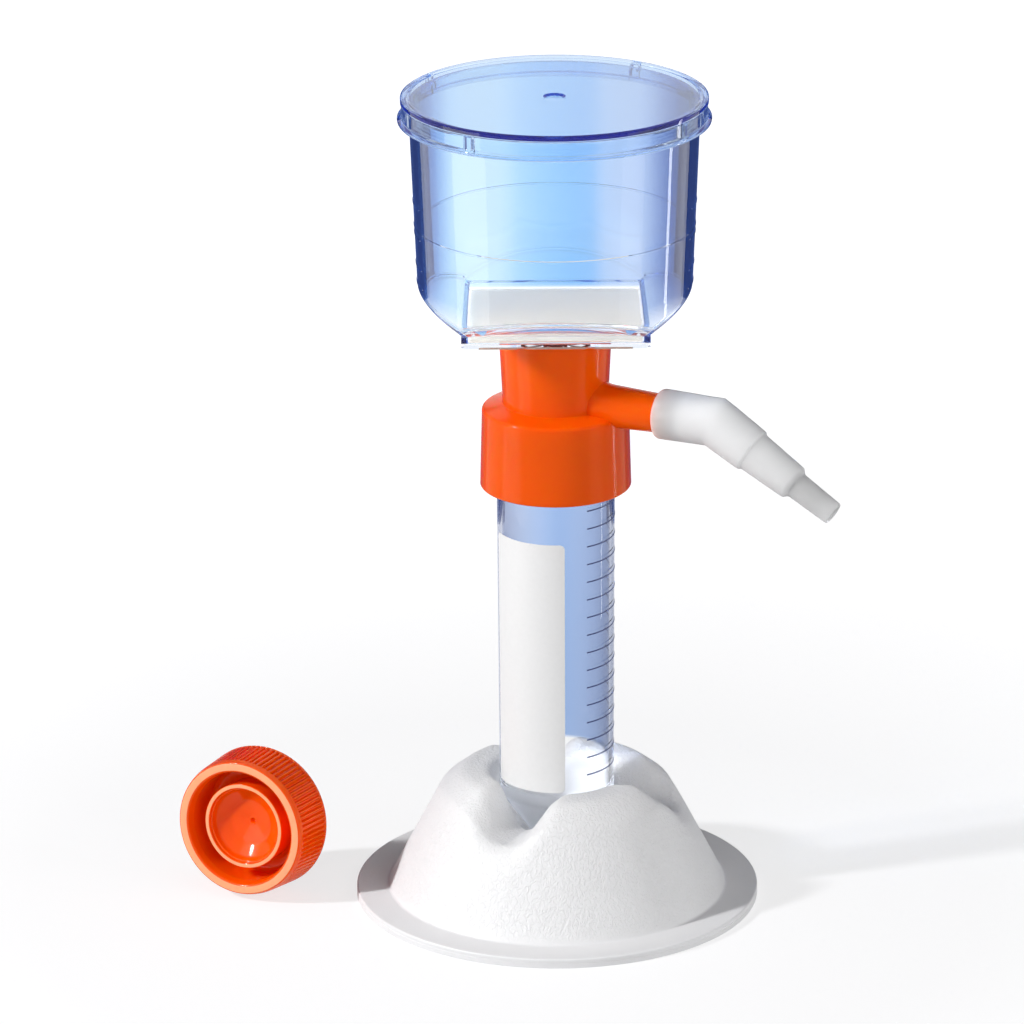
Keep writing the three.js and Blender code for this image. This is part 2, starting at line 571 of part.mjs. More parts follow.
// ---------------------------------------------------------------- lid
function makeLid() {
  const lipZ = LID_UNDERSIDE_Z - LID_SKIRT_DEPTH;
  const lipTop = lipZ + LID_LIP_HEIGHT;
  const crestRadius = LID_RADIUS - EDGE;
  const panelRadius = crestRadius - LID_RIM_WIDTH;
  let shape = turned([
    [0, LID_UNDERSIDE_Z],
    [LID_SKIRT_INNER, LID_UNDERSIDE_Z],
    [LID_SKIRT_INNER, lipZ],
    [LID_LIP_RADIUS - EDGE, lipZ],
    [LID_LIP_RADIUS, lipZ + EDGE],
    [LID_SKIRT_OUTER, lipTop + EDGE],
    [LID_SKIRT_OUTER, LID_UNDERSIDE_Z],
    [LID_RADIUS, LID_UNDERSIDE_Z + LID_SKIRT_STEP],
    [LID_RADIUS, LID_TOP_Z - EDGE],
    [crestRadius, LID_TOP_Z],
    [panelRadius, LID_TOP_Z],
    [panelRadius - LID_RIM_HEIGHT, LID_PANEL_Z],
    [LID_DIMPLE_RADIUS, LID_PANEL_Z],
    [LID_DIMPLE_RADIUS - LID_DIMPLE_SLOPE, LID_PANEL_Z - LID_DIMPLE_DEPTH],
    [0, LID_PANEL_Z - LID_DIMPLE_DEPTH],
  ]);
  const ribInner = FUNNEL_TOP_RADIUS + GAP;
  const ribDepth = LID_SKIRT_INNER + LID_SKIRT_WALL / 2 - ribInner;
  const ribHeight = LID_UNDERSIDE_Z - lipTop + EDGE;
  for (const azimuth of LID_RIB_AZIMUTHS) {
    const rib = block(
      ribDepth, LID_RIB_WIDTH, ribHeight, ribInner + ribDepth / 2, 0, lipTop + ribHeight / 2,
    );
    shape = shape.add(rib.rotate([0, 0, azimuth]));
  }
  return toMesh("lid", shape, 0xd5e4f7, 0.06, { transparent: true, opacity: 0.3 });
}

// ---------------------------------------------------------------- the whole unit
const unit = new THREE.Group();
unit.add(
  makeStand(), makeTube(), makeCap(), makeCollar(), makeGasket(), makeHoseConnector(),
  makeSupportPlate(), makeMembrane(), makeFunnel(), makeLid(),
);

// The origin is the bottom centre of the whole unit's box.
const box = new THREE.Box3().setFromObject(unit, true);
unit.position.set(-(box.min.x + box.max.x) / 2, -(box.min.y + box.max.y) / 2, -box.min.z);

const model = new THREE.Group();
model.add(unit);
export default model;
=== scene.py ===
"""Looks of the vacuum filtration unit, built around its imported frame."""
import json
import math

import bpy
from bpy.props import FloatProperty, FloatVectorProperty, IntProperty, PointerProperty
from mathutils import Matrix, Vector


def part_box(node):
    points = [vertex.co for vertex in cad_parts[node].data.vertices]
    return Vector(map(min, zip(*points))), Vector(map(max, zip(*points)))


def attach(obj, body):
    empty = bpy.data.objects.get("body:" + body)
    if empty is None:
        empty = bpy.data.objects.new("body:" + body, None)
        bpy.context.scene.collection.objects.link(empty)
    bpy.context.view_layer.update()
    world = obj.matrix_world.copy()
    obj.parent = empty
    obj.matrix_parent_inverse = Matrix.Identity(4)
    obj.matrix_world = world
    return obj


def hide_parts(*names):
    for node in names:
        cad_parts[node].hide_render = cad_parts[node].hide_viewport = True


bl_info = {
    "name": "Vacuum filtration unit",
    "version": (1, 0, 0),
    "blender": (4, 5, 0),
    "location": "View3D > Sidebar > Filter unit",
    "description": "Builds a clear filter funnel on a screw collar, its tube, stand and cap",
    "category": "Object",
}

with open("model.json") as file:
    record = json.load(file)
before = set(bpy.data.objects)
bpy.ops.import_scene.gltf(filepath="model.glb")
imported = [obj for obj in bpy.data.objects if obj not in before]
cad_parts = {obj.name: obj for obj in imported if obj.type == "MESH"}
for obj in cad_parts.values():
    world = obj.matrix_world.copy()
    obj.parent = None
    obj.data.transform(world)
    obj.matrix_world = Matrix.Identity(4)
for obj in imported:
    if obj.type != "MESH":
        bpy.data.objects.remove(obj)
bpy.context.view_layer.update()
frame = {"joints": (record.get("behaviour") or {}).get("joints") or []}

MM = 0.001


def box_mm(node):
    low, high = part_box(node)
    return low / MM, high / MM


STAND_LOW, STAND_HIGH = box_mm("stand")
TUBE_LOW, TUBE_HIGH = box_mm("tube")
COLLAR_LOW, COLLAR_HIGH = box_mm("collar")
PLATE_LOW, PLATE_HIGH = box_mm("support_plate")
FUNNEL_LOW, FUNNEL_HIGH = box_mm("funnel")
LID_LOW, LID_HIGH = box_mm("lid")
MEMBRANE_LOW, MEMBRANE_HIGH = box_mm("membrane")
GASKET_LOW, GASKET_HIGH = box_mm("collar_gasket")
CAP_LOW, CAP_HIGH = box_mm("cap")
AXIS_X = (STAND_LOW.x + STAND_HIGH.x) / 2
AXIS_Y = (STAND_LOW.y + STAND_HIGH.y) / 2


def half_width(low, high):
    return (high.y - low.y) / 2


def joint_named(name):
    return next(joint for joint in frame["joints"] if joint["name"] == name)


ELBOW = joint_named("elbow_turn")
ELBOW_MOUTH = 28.5


# ------------------------------------------------------------------ sizes and colours
def length(name, description, default_mm):
    return FloatProperty(
        name=name, description=description, default=default_mm * MM, unit="LENGTH", precision=5
    )


def angle(name, description, default_degrees):
    return FloatProperty(
        name=name, description=description, default=math.radians(default_degrees), subtype="ANGLE"
    )


def colour(name, description, default):
    return FloatVectorProperty(
        name=name, description=description, default=default, subtype="COLOR", size=3, min=0.0, max=1.0
    )


class FilterUnitSizes(bpy.types.PropertyGroup):
    well_clearance: length("Well clearance", "Room round the tube in the stand's well", 0.6)
    stand_wall: length("Stand wall", "Thickness of the stand's moulding", 2.2)
    channel_floor: length("Channel floor", "Height of the finger channels above the bench", 21.8)
    tube_wall: length("Tube wall", "Thickness of the tube's wall", 1.2)
    graduation_pitch: length("Graduation pitch", "Height between two lines on the tube", 4.603)
    graduation_count: IntProperty(name="Graduations", description="Lines on the tube", default=16, min=1)
    collar_wall: length("Collar wall", "Thickness of the collar's skirt", 1.7)
    funnel_wall: length("Funnel wall", "Thickness of the funnel's wall", 1.6)
    funnel_fillet: length("Funnel fillet", "Outer radius between the funnel's wall and floor", 4.0)
    knurl_count: IntProperty(name="Cap ribs", description="Grip ribs round the cap", default=84, min=12)


class FilterUnitColours(bpy.types.PropertyGroup):
    orange: colour("Orange", "Collar and cap", (1.0, 0.095, 0.001))
    # A paler copy of the orange for the cap's matt rim faces, with the lamps' sheen painted into it.
    matt_painted_sheen_orange: colour("Matt orange", "Dull faces of the cap's rims", (0.96, 0.40, 0.19))
    clear_tint: colour("Clear tint", "Light that clear plastic lets through", (0.05, 0.36, 0.83))
    stand_white: colour("Stand white", "Textured white moulding", (0.86, 0.86, 0.87))
    milky: colour("Milky white", "Hose elbow", (0.80, 0.80, 0.805))
    ink_white: colour("White ink", "Writing field on the tube", (0.81, 0.81, 0.81))
    ink_blue: colour("Blue ink", "Graduation lines", (0.022, 0.04, 0.16))
    membrane: colour("Membrane", "Filter membrane", (0.76, 0.69, 0.58))
    rubber: colour("Rubber", "Sealing ring", (0.62, 0.60, 0.55))


class FilterUnitStage(bpy.types.PropertyGroup):
    camera_distance: length("Camera distance", "From the aim point to the camera", 1546.1)
    camera_height: angle("Camera elevation", "Angle above the horizon", 19.3)
    camera_roll: angle("Camera roll", "Turn about the line of sight", -0.34)
    lens: FloatProperty(name="Lens", description="Focal length in millimetres", default=221.5)


# ------------------------------------------------------------------ modelling helpers
def deselect():
    if bpy.context.object and bpy.context.object.mode != "OBJECT":
        bpy.ops.object.mode_set(mode="OBJECT")
    bpy.ops.object.select_all(action="DESELECT")


def pick(piece):
    deselect()
    piece.select_set(True)
    bpy.context.view_layer.objects.active = piece


def edit(piece):
    pick(piece)
    bpy.ops.object.mode_set(mode="EDIT")
    bpy.ops.mesh.select_all(action="SELECT")


def on_ring(radius, turn, z):
    return (radius * math.cos(turn), radius * math.sin(turn), z)


def arc_corners(corners, closed=True, steps=5):
    """Turns (radius, height, round) corners into an outline whose rounded corners are arcs."""
    points = []
    count = len(corners)
    for index, (r, z, roundness) in enumerate(corners):
        here = Vector((r, z))
        ends = not closed and index in (0, count - 1)
        if roundness <= 0 or ends:
            points.append((r, z))
            continue
        before = Vector(corners[index - 1][:2]) - here
        after = Vector(corners[(index + 1) % count][:2]) - here
        half = before.angle(after) / 2
        reach = min(roundness / math.tan(half), 0.49 * before.length, 0.49 * after.length)
        radius = reach * math.tan(half)
        inward = (before.normalized() + after.normalized()).normalized()
        centre = here + inward * (radius / math.sin(half))
        first = here + before.normalized() * reach - centre
        last = here + after.normalized() * reach - centre
        for step in range(steps + 1):
            points.append(tuple(centre + first.slerp(last, step / steps) * radius))
    return points


def spin_outline(name, outline, steps, closed=True):
    """Draws an outline beside the Z axis, vertex by vertex, and spins it full circle."""
    deselect()
    bpy.ops.mesh.primitive_circle_add(vertices=3, radius=MM)
    piece = bpy.context.object
    piece.name = name
    edit(piece)
    bpy.ops.mesh.merge(type="CENTER")
    path = outline + outline[:1] if closed else outline
    here = Vector((0.0, 0.0))
    for index, point in enumerate(path):
        move = (Vector(point) - here) * MM
        if index == 0:
            bpy.ops.transform.translate(value=(move.x, 0, move.y))
        else:
            bpy.ops.mesh.extrude_vertices_move(TRANSFORM_OT_translate={"value": (move.x, 0, move.y)})
        here = Vector(point)
    bpy.ops.mesh.select_all(action="SELECT")
    bpy.ops.mesh.spin(steps=steps, angle=math.tau, center=(0, 0, 0), axis=(0, 0, 1))
    bpy.ops.mesh.select_all(action="SELECT")
    bpy.ops.mesh.remove_doubles(threshold=0.002 * MM)
    bpy.ops.mesh.normals_make_consistent(inside=False)
    bpy.ops.object.mode_set(mode="OBJECT")
    return piece


def loft(name, rings, count, closed=True):
    """A skin through rings of equal points. A ring is a function from a turn to a place in millimetres."""
    deselect()
    bpy.ops.mesh.primitive_circle_add(vertices=count, radius=1.0, fill_type="NOTHING")
    piece = bpy.context.object
    piece.name = name
    edit(piece)
    path = rings + rings[:1] if closed else rings
    for _ in path[1:]:
        bpy.ops.mesh.extrude_region_move(TRANSFORM_OT_translate={"value": (0, 0, 1.0)})
    bpy.ops.object.mode_set(mode="OBJECT")
    for vertex in piece.data.vertices:
        ring = path[round(vertex.co.z)]
        vertex.co = Vector(ring(math.atan2(vertex.co.y, vertex.co.x))) * MM
    edit(piece)
    bpy.ops.mesh.remove_doubles(threshold=0.002 * MM)
    bpy.ops.mesh.normals_make_consistent(inside=False)
    bpy.ops.object.mode_set(mode="OBJECT")
    return piece


def apply_modifier(piece, kind, **settings):
    pick(piece)
    modifier = piece.modifiers.new(kind.title(), kind)
    for key, value in settings.items():
        setattr(modifier, key, value)
    bpy.ops.object.modifier_apply(modifier=modifier.name)


def bevel_edges(piece, width_mm, sharper_than):
    """Rounds the edges that turn by more than an angle in degrees."""
    limit = math.radians(sharper_than)
    apply_modifier(piece, "BEVEL", width=width_mm * MM, segments=2, limit_method="ANGLE", angle_limit=limit)


def combine(piece, tool, operation):
    """Cuts or joins a piece with a tool, which is then gone."""
    apply_modifier(piece, "BOOLEAN", object=tool, operation=operation, solver="EXACT")
    bpy.data.objects.remove(tool)


def block(name, low, high):
    """A box between two corners in millimetres."""
    deselect()
    centre = [(a + b) / 2 * MM for a, b in zip(low, high)]
    bpy.ops.mesh.primitive_cube_add(size=1, location=centre)
    piece = bpy.context.object
    piece.name = name
    piece.scale = [(b - a) * MM for a, b in zip(low, high)]
    bpy.ops.object.transform_apply(location=True, rotation=True, scale=True)
    return piece


def place(piece, offset=(0, 0, 0), turn=(0, 0, 0)):
    """Turns and moves a piece, and keeps its place in its mesh."""
    pick(piece)
    piece.rotation_euler = turn
    piece.location = Vector(offset) * MM
    bpy.ops.object.transform_apply(location=True, rotation=True, scale=True)


CLEAR_SLOTS = ("clear_plastic", "tube_plastic")
CLEAR_SMOOTH = 9


def finish_piece(piece, body, slot, material, node=None, smooth=32):
    """Gives a piece its shading, finish and body, and lets it stand for its node.

    Only the gentle turns of a clear piece are smoothed, because light refracts wrongly at a bent normal.
    """
    if slot in CLEAR_SLOTS:
        smooth = CLEAR_SMOOTH
    pick(piece)
    bpy.ops.object.shade_smooth_by_angle(angle=math.radians(smooth))
    apply_modifier(piece, "WEIGHTED_NORMAL", weight=50, keep_sharp=True)
    if not piece.data.materials:
        piece.data.materials.append(material)
    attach(piece, body)
    if node:
        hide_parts(node)


def on_axis(piece):
    place(piece, (AXIS_X, AXIS_Y, 0))


# ------------------------------------------------------------------ finishes
def new_material(name):
    material = bpy.data.materials.new(name)
    material.use_nodes = True
    tree = material.node_tree
    return material, tree, tree.nodes["Principled BSDF"], tree.nodes["Material Output"]


def feed(tree, node, inputs):
    """Gives each named input of a node its value, or links it to the output that it follows."""
    for key, value in inputs.items():
        if isinstance(value, bpy.types.NodeSocket):
            tree.links.new(value, node.inputs[key])
        else:
            node.inputs[key].default_value = value


def add_node(tree, kind, inputs, **settings):
    node = tree.nodes.new("ShaderNode" + kind)
    for key, value in settings.items():
        setattr(node, key, value)
    feed(tree, node, inputs)
    return node


def calculate(tree, operation, first, second):
    return add_node(tree, "Math", {0: first, 1: second}, operation=operation).outputs["Value"]


def mix_shaders(tree, share, first, second):
    return add_node(tree, "MixShader", {"Fac": share, 1: first, 2: second}).outputs["Shader"]


def mix_colours(tree, share, near, far):
    """An even colour where the share is 0, and a linked one where it is 1."""
    mix = add_node(tree, "Mix", {"Factor": share, "A": (*near, 1), "B": far}, data_type="RGBA")
    return mix.outputs["Result"]


def object_place(tree):
    return add_node(tree, "TexCoord", {}).outputs["Object"]


def object_noise(tree, scale, detail=2.0, distortion=0.0, stretch=(1, 1, 1)):
    """Noise on the object's own coordinates, in cells for each metre."""
    mapping = add_node(tree, "Mapping", {"Vector": object_place(tree), "Scale": stretch})
    settings = {"Scale": scale, "Detail": detail, "Distortion": distortion}
    noise = add_node(tree, "TexNoise", {"Vector": mapping.outputs["Vector"], **settings})
    return noise.outputs["Fac"]


def add_bump(tree, shader, height, strength, distance_mm):
    bump = add_node(tree, "Bump", {"Strength": strength, "Distance": distance_mm * MM, "Height": height})
    feed(tree, shader, {"Normal": bump.outputs["Normal"]})


def ramp_between(tree, factor, low, high, start=0.3, end=0.7):
    ramp = add_node(tree, "ValToRGB", {"Fac": factor})
    for stop, position, rgb in zip(ramp.color_ramp.elements, (start, end), (low, high)):
        stop.position = position
        stop.color = (*rgb, 1)
    return ramp.outputs["Color"]


def span_of(tree, value, start=0.0, end=1.0, low=0.0, high=1.0, smooth=False):
    """Maps the span from start to end onto the one from low to high."""
    limits = {"From Min": start, "From Max": end, "To Min": low, "To Max": high}
    kind = "SMOOTHSTEP" if smooth else "LINEAR"
    span = add_node(tree, "MapRange", {"Value": value, **limits}, interpolation_type=kind)
    return span.outputs["Result"]


def along_axis(tree, axis, start, end, low=0.0, high=1.0, smooth=True):
    """Low to high between two places along one of the object's own axes, in millimetres."""
    split = add_node(tree, "SeparateXYZ", {"Vector": object_place(tree)})
    return span_of(tree, split.outputs[axis], start * MM, end * MM, low, high, smooth)


def shade(rgb, factor):
    return tuple(min(1.0, channel * factor) for channel in rgb)


def mottle(tree, shader, factor, rgb, darker, lighter):
    """Colours a shader by a noise, from a darker to a lighter share of one colour."""
    shades = ramp_between(tree, factor, shade(rgb, darker), shade(rgb, lighter))
    feed(tree, shader, {"Base Color": shades})


def scatter_inside(tree, shader, weight, radius, reach_mm):
    scale = reach_mm * MM
    inputs = {"Subsurface Weight": weight, "Subsurface Radius": radius, "Subsurface Scale": scale}
    feed(tree, shader, inputs)


POLISHED = 0.02
FROSTED = 0.5
PAINTED_BACKDROP_START = 0.68
SHADOW_TINT = (0.90, 0.905, 0.91, 1)


def painted_backdrop_bands(tree, half, bands, base):
    """Painted light: the blue of a backdrop seen through the far wall, in bands across X that are darker
    towards the sides and lighter where reflections fall, fading out at the near wall and below base.
    """
    across = along_axis(tree, "X", AXIS_X - half, AXIS_X + half, smooth=False)
    ramp = add_node(tree, "ValToRGB", {"Fac": across})
    ramp.color_ramp.interpolation = "B_SPLINE"
    stops = ramp.color_ramp.elements
    for place_at, rgb in bands:
        stop = stops.new(0.5 + place_at / (2 * half))
        stop.color = (*rgb, 1)
    stops.remove(stops[0])
    stops.remove(stops[-1])
    behind = along_axis(tree, "Y", AXIS_Y - PAINTED_BACKDROP_START * half, AXIS_Y)
    above = along_axis(tree, "Z", base, base + 1)
    share = calculate(tree, "MULTIPLY", behind, above)
    return mix_colours(tree, share, (1, 1, 1), ramp.outputs["Color"])


def clear_plastic(
    name, tint, density, half=None, bands=(), base=0.0, ior=1.4, painted_see_through=(1.0, 1.0, 1.0), frosted_below=None
):
    """Clear moulding: light crosses it freely and is tinted by the depth it crosses."""
    material, tree, shader, output = new_material(name)
    # The base colour is painted light: the blue of the backdrop seen through the plastic, either in painted
    # bands or even.
    painted_see_through = painted_backdrop_bands(tree, half, bands, base) if bands else (*painted_see_through, 1)
    feed(tree, shader, {"Base Color": painted_see_through, "Transmission Weight": 1.0})
    feed(tree, shader, {"Roughness": POLISHED, "IOR": ior})
    if frosted_below:
        polish = along_axis(tree, "Z", frosted_below - 1.5, frosted_below, FROSTED, POLISHED)
        feed(tree, shader, {"Roughness": polish})
    add_bump(tree, shader, object_noise(tree, 60, 1.0), 0.2, 0.12)
    absorption = add_node(tree, "VolumeAbsorption", {"Color": (*tint, 1), "Density": density})
    clear = add_node(tree, "BsdfTransparent", {"Color": SHADOW_TINT})
    in_shadow = add_node(tree, "LightPath", {}).outputs["Is Shadow Ray"]
    surface = mix_shaders(tree, in_shadow, shader.outputs["BSDF"], clear.outputs["BSDF"])
    feed(tree, output, {"Surface": surface, "Volume": absorption.outputs["Volume"]})
    return material


def glossy_orange(name, rgb, gloss=0.08):
    """Glossy orange moulding with a faint flow pattern, and light that spreads a little inside it."""
    material, tree, shader, _ = new_material(name)
    mottle(tree, shader, object_noise(tree, 45, 3.0, 0.6), rgb, 0.95, 1.04)
    grain = object_noise(tree, 900, 2.0)
    polish = span_of(tree, grain, low=0.06, high=0.15)
    feed(tree, shader, {"Roughness": polish, "Specular IOR Level": gloss})
    add_bump(tree, shader, grain, 0.08, 0.02)
    scatter_inside(tree, shader, 0.5, (1.0, 0.08, 0.015), 8.0)
    return material


def matt_painted_sheen_orange(name, rgb):
    """Matt orange of the cap's rim faces, painted paler as a sheen of the lamps on them."""
    material, tree, shader, _ = new_material(name)
    grain = object_noise(tree, 700, 3.0)
    mottle(tree, shader, grain, rgb, 0.96, 1.03)
    add_bump(tree, shader, grain, 0.2, 0.03)
    feed(tree, shader, {"Roughness": 0.45})
    scatter_inside(tree, shader, 0.2, (1.0, 0.3, 0.1), 1.5)
    return material


def textured_white(name, rgb):
    """White moulding with a fine worm-like grain, which fades out on the flange."""
    material, tree, shader, _ = new_material(name)
    mottle(tree, shader, object_noise(tree, 60, 3.0), rgb, 0.985, 1.01)
    noise = object_noise(tree, 1400, 1.0, 0.9, stretch=(1.0, 1.0, 0.55))
    worms = ramp_between(tree, noise, (0, 0, 0), (1, 1, 1), 0.42, 0.58)
    on_cone = along_axis(tree, "Z", 2.2, 5.0, low=0.12)
    add_bump(tree, shader, calculate(tree, "MULTIPLY", worms, on_cone), 0.8, 0.11)
    feed(tree, shader, {"Roughness": 0.5})
    scatter_inside(tree, shader, 0.1, (1.0, 1.0, 1.0), 1.0)
    return material


def milky_plastic(name, rgb):
    """Soft milky moulding that lets some light through, with a painted glow of the arm's orange near its
    mouth.
    """
    material, tree, shader, _ = new_material(name)
    milky = ramp_between(tree, object_noise(tree, 120, 2.0), shade(rgb, 0.99), shade(rgb, 1.01))
    x, y, _ = ELBOW["axis"]
    along = add_node(tree, "VectorMath", {0: object_place(tree), 1: (x, y, 0)}, operation="DOT_PRODUCT")
    mouth = (AXIS_X * x + AXIS_Y * y + ELBOW_MOUTH) * MM
    inside = span_of(tree, along.outputs["Value"], mouth - 1.5 * MM, mouth + 7.5 * MM, smooth=True)
    # Painted light: near the mouth the colour turns pale orange, as a painted glow of the orange arm shining
    # through the wall.
    feed(tree, shader, {"Base Color": mix_colours(tree, inside, (1.0, 0.70, 0.60), milky)})
    add_bump(tree, shader, object_noise(tree, 1500, 2.0), 0.12, 0.03)
    feed(tree, shader, {"Roughness": 0.6, "Specular IOR Level": 0.2})
    scatter_inside(tree, shader, 1.0, (1.0, 1.0, 1.0), 9.0)
    return material


def matte_film(name, rgb, cells, roughness):
    """Ink or film: an even colour with a fine tooth."""
    material, tree, shader, _ = new_material(name)
    tooth = object_noise(tree, cells, 3.0)
    mottle(tree, shader, tooth, rgb, 0.99, 1.01)
    add_bump(tree, shader, tooth, 0.10, 0.01)
    feed(tree, shader, {"Roughness": roughness})
    return material


# ------------------------------------------------------------------ stage
class FILTER_OT_stage(bpy.types.Operator):
    """Floor, soft lamps, cards that show in gloss, and camera"""

    bl_idname = "filter_unit.stage"
    bl_label = "Stage"

    KEY = (-71, 31.5, 1.5, (0.07, 0.14), 19.3)
    SOFTBOX_DISTANCE = 1.3
    SOFTBOX_SIZE = (0.6, 0.7)
    SOFTBOXES = (
        ("front_softbox", -8, 15, 2.4), ("middle_softbox", 30, 15, 2.5), ("right_softbox", 66, 15, 3.4),
        ("rear_softbox", 110, 15, 1.0), ("high_softbox", 50, 45, 0.6), ("top_softbox", -10, 75, 0.8),
    )
    GLOSS_CARDS = (
        ("left_card", -70, 0.28, (0.16, 0.30), 2.2), ("right_card", 62, 0.28, (0.10, 0.30), 0.9),
        ("strip_card", 98, 0.2, (0.012, 0.24), 8.0),
    )
    BENCH_GAP = 0.004
    FLAGS = (("left_flag", -1), ("right_flag", 1))
    FLAG_PLACE = (0.155, 0.24, 0.125)
    FLAG_SIZE = (0.19, 0.25, 1)
    FLAG_TURN = math.radians(-20)
    FLOOR_SIZE = 12
    FLOOR_DROP = 0.05 * MM
    SHADOW_REACH = (0.12, 0.45)
    SHADOW_ROOM = 0.72
    FLOOR_BOUNCE = 0.3

    def execute(self, context):
        stage = context.scene.filter_unit_stage
        self.set_world(context.scene)
        self.add_floor()
        middle = Vector((AXIS_X, AXIS_Y, 100)) * MM
        self.add_lamp("key_lamp", middle, *self.KEY)
        for name, side, height, power in self.SOFTBOXES:
            softbox = self.add_lamp(
                name, middle, side, height, self.SOFTBOX_DISTANCE, self.SOFTBOX_SIZE, power
            )
            softbox.visible_glossy = False
        for card in self.GLOSS_CARDS:
            self.add_gloss_card(*card)
        for flag in self.FLAGS:
            self.add_flag(*flag)
        self.add_camera(context.scene, stage)
        context.scene.view_settings.view_transform = "Standard"
        self.let_light_pass_clear_walls(context.scene.cycles)
        return {"FINISHED"}

    def let_light_pass_clear_walls(self, cycles):
        """Enough bounces for light that crosses the nested clear walls or runs along them."""
        cycles.max_bounces = 64
        cycles.glossy_bounces = 56
        cycles.transmission_bounces = 40
        cycles.transparent_max_bounces = 24

    def set_world(self, scene):
        world = bpy.data.worlds.new("studio")
        world.use_nodes = True
        scene.world = world
        tree = world.node_tree
        lit = tree.nodes["Background"]
        feed(tree, lit, {"Color": (0.92, 0.92, 1.0, 1), "Strength": 0.03})
        seen = add_node(tree, "Background", {"Color": (1, 1, 1, 1)})
        outputs = (lit.outputs["Background"], seen.outputs["Background"])
        surface = mix_shaders(tree, self.seen_rays(tree), *outputs)
        feed(tree, tree.nodes["World Output"], {"Surface": surface})

    def seen_rays(self, tree):
        """1 for rays that show the background straight, in gloss or through clear plastic.

        Light that a matt surface gathers through clear plastic is left out, or it would glow.
        """
        paths = add_node(tree, "LightPath", {})
        total = paths.outputs["Is Camera Ray"]
        for kind in ("Is Glossy Ray", "Is Transmission Ray"):
            total = calculate(tree, "MAXIMUM", total, paths.outputs[kind])
        before_matt = calculate(tree, "LESS_THAN", paths.outputs["Diffuse Depth"], 0.5)
        return calculate(tree, "MULTIPLY", total, before_matt)

    def add_floor(self):
        deselect()
        bpy.ops.mesh.primitive_plane_add(size=self.FLOOR_SIZE, location=(0, 0, -self.FLOOR_DROP))
        floor = bpy.context.object
        floor.name = "floor"
        material, tree, shader, output = new_material("floor_white")
        matt = {"Base Color": (0.32, 0.32, 0.33, 1), "Roughness": 0.9, "Specular IOR Level": 0.1}
        feed(tree, shader, matt)
        seen = calculate(tree, "MULTIPLY", self.seen_rays(tree), self.away_from_object(tree))
        strength = calculate(tree, "MAXIMUM", seen, self.FLOOR_BOUNCE)
        glow = add_node(tree, "Emission", {"Color": (1, 1, 1, 1), "Strength": strength})
        both = add_node(tree, "AddShader", {0: shader.outputs["BSDF"], 1: glow.outputs["Emission"]})
        feed(tree, output, {"Surface": both.outputs["Shader"]})
        floor.data.materials.append(material)

    def away_from_object(self, tree):
        """The floor's own glow, which leaves room for shadow near the object and is white far from it."""
        distance = add_node(tree, "VectorMath", {0: object_place(tree)}, operation="LENGTH")
        return span_of(tree, distance.outputs["Value"], *self.SHADOW_REACH, self.SHADOW_ROOM)

    def add_rectangle(self, name, location, way, size, power):
        bpy.ops.object.light_add(type="AREA", location=location)
        lamp = bpy.context.object
        lamp.name = name
        lamp.rotation_euler = way.to_track_quat("Z", "Y").to_euler()
        lamp.data.shape = "RECTANGLE"
        lamp.data.size, lamp.data.size_y = size
        lamp.data.energy = power
        return lamp

    def add_lamp(self, name, target, side, height, distance, size, power):
        """A soft rectangle, side degrees round from the front and height degrees up."""
        a = math.radians(side - 90)
        e = math.radians(height)
        way = Vector(on_ring(math.cos(e), a, math.sin(e)))
        return self.add_rectangle(name, target + way * distance, way, size, power)

    def add_flag(self, name, side):
        """A dark blue board behind the object, which only draws dark edges in gloss and clear plastic."""
        deselect()
        across, behind, up = self.FLAG_PLACE
        location = (AXIS_X * MM + side * across, AXIS_Y * MM + behind, up)
        bpy.ops.mesh.primitive_plane_add(size=1, location=location)
        flag = bpy.context.object
        flag.name = name
        flag.rotation_euler = (math.pi / 2, 0, self.FLAG_TURN * side)
        flag.scale = self.FLAG_SIZE
        material, tree, shader, output = new_material("flag_blue")
        glow = add_node(tree, "Emission", {"Color": (0.06, 0.10, 0.30, 1)})
        feed(tree, output, {"Surface": glow.outputs["Emission"]})
        tree.nodes.remove(shader)
        flag.data.materials.append(material)
        flag.visible_camera = flag.visible_diffuse = flag.visible_shadow = False

    def add_gloss_card(self, name, side, distance, size, brightness):
        """An upright card on the bench that only shows as a reflection. A brightness of 1 is white."""
        way = Vector(on_ring(1, math.radians(side - 90), 0))
        middle = Vector((AXIS_X * MM, AXIS_Y * MM, self.BENCH_GAP + size[1] / 2)) + way * distance
        power = brightness * math.pi * size[0] * size[1]
        card = self.add_rectangle(name, middle, way, size, power)
        card.visible_camera = card.visible_diffuse = card.visible_transmission = False

    def add_camera(self, scene, stage):
        aim = Vector((AXIS_X - 10.756, AXIS_Y, 100.14)) * MM
        e = stage.camera_height
        back = Vector((0, -math.cos(e), math.sin(e)))
        tilt = Matrix.Rotation(math.pi / 2 - e, 3, "X") @ Matrix.Rotation(stage.camera_roll, 3, "Z")
        bpy.ops.object.camera_add(location=aim + back * stage.camera_distance, rotation=tilt.to_euler())
        camera = bpy.context.object
        camera.data.lens = stage.lens
        camera.data.sensor_width = 36
        camera.data.clip_start = 0.05
        camera.data.clip_end = 30
        scene.camera = camera


# ------------------------------------------------------------------ stand
def smooth_step(x):
    x = min(1.0, max(0.0, x))
    return x * x * (3 - 2 * x)


def soft_minimum(a, b, blend):
    """The lower of two heights, with a rounded change from one to the other."""
    h = max(blend - abs(a - b), 0.0) / blend
    return min(a, b) - h * h * blend / 4


def rounded_rise(x, reach):
    """Level below 0 and rising two for one above it, with a rounded change."""
    return x + math.hypot(x, reach)


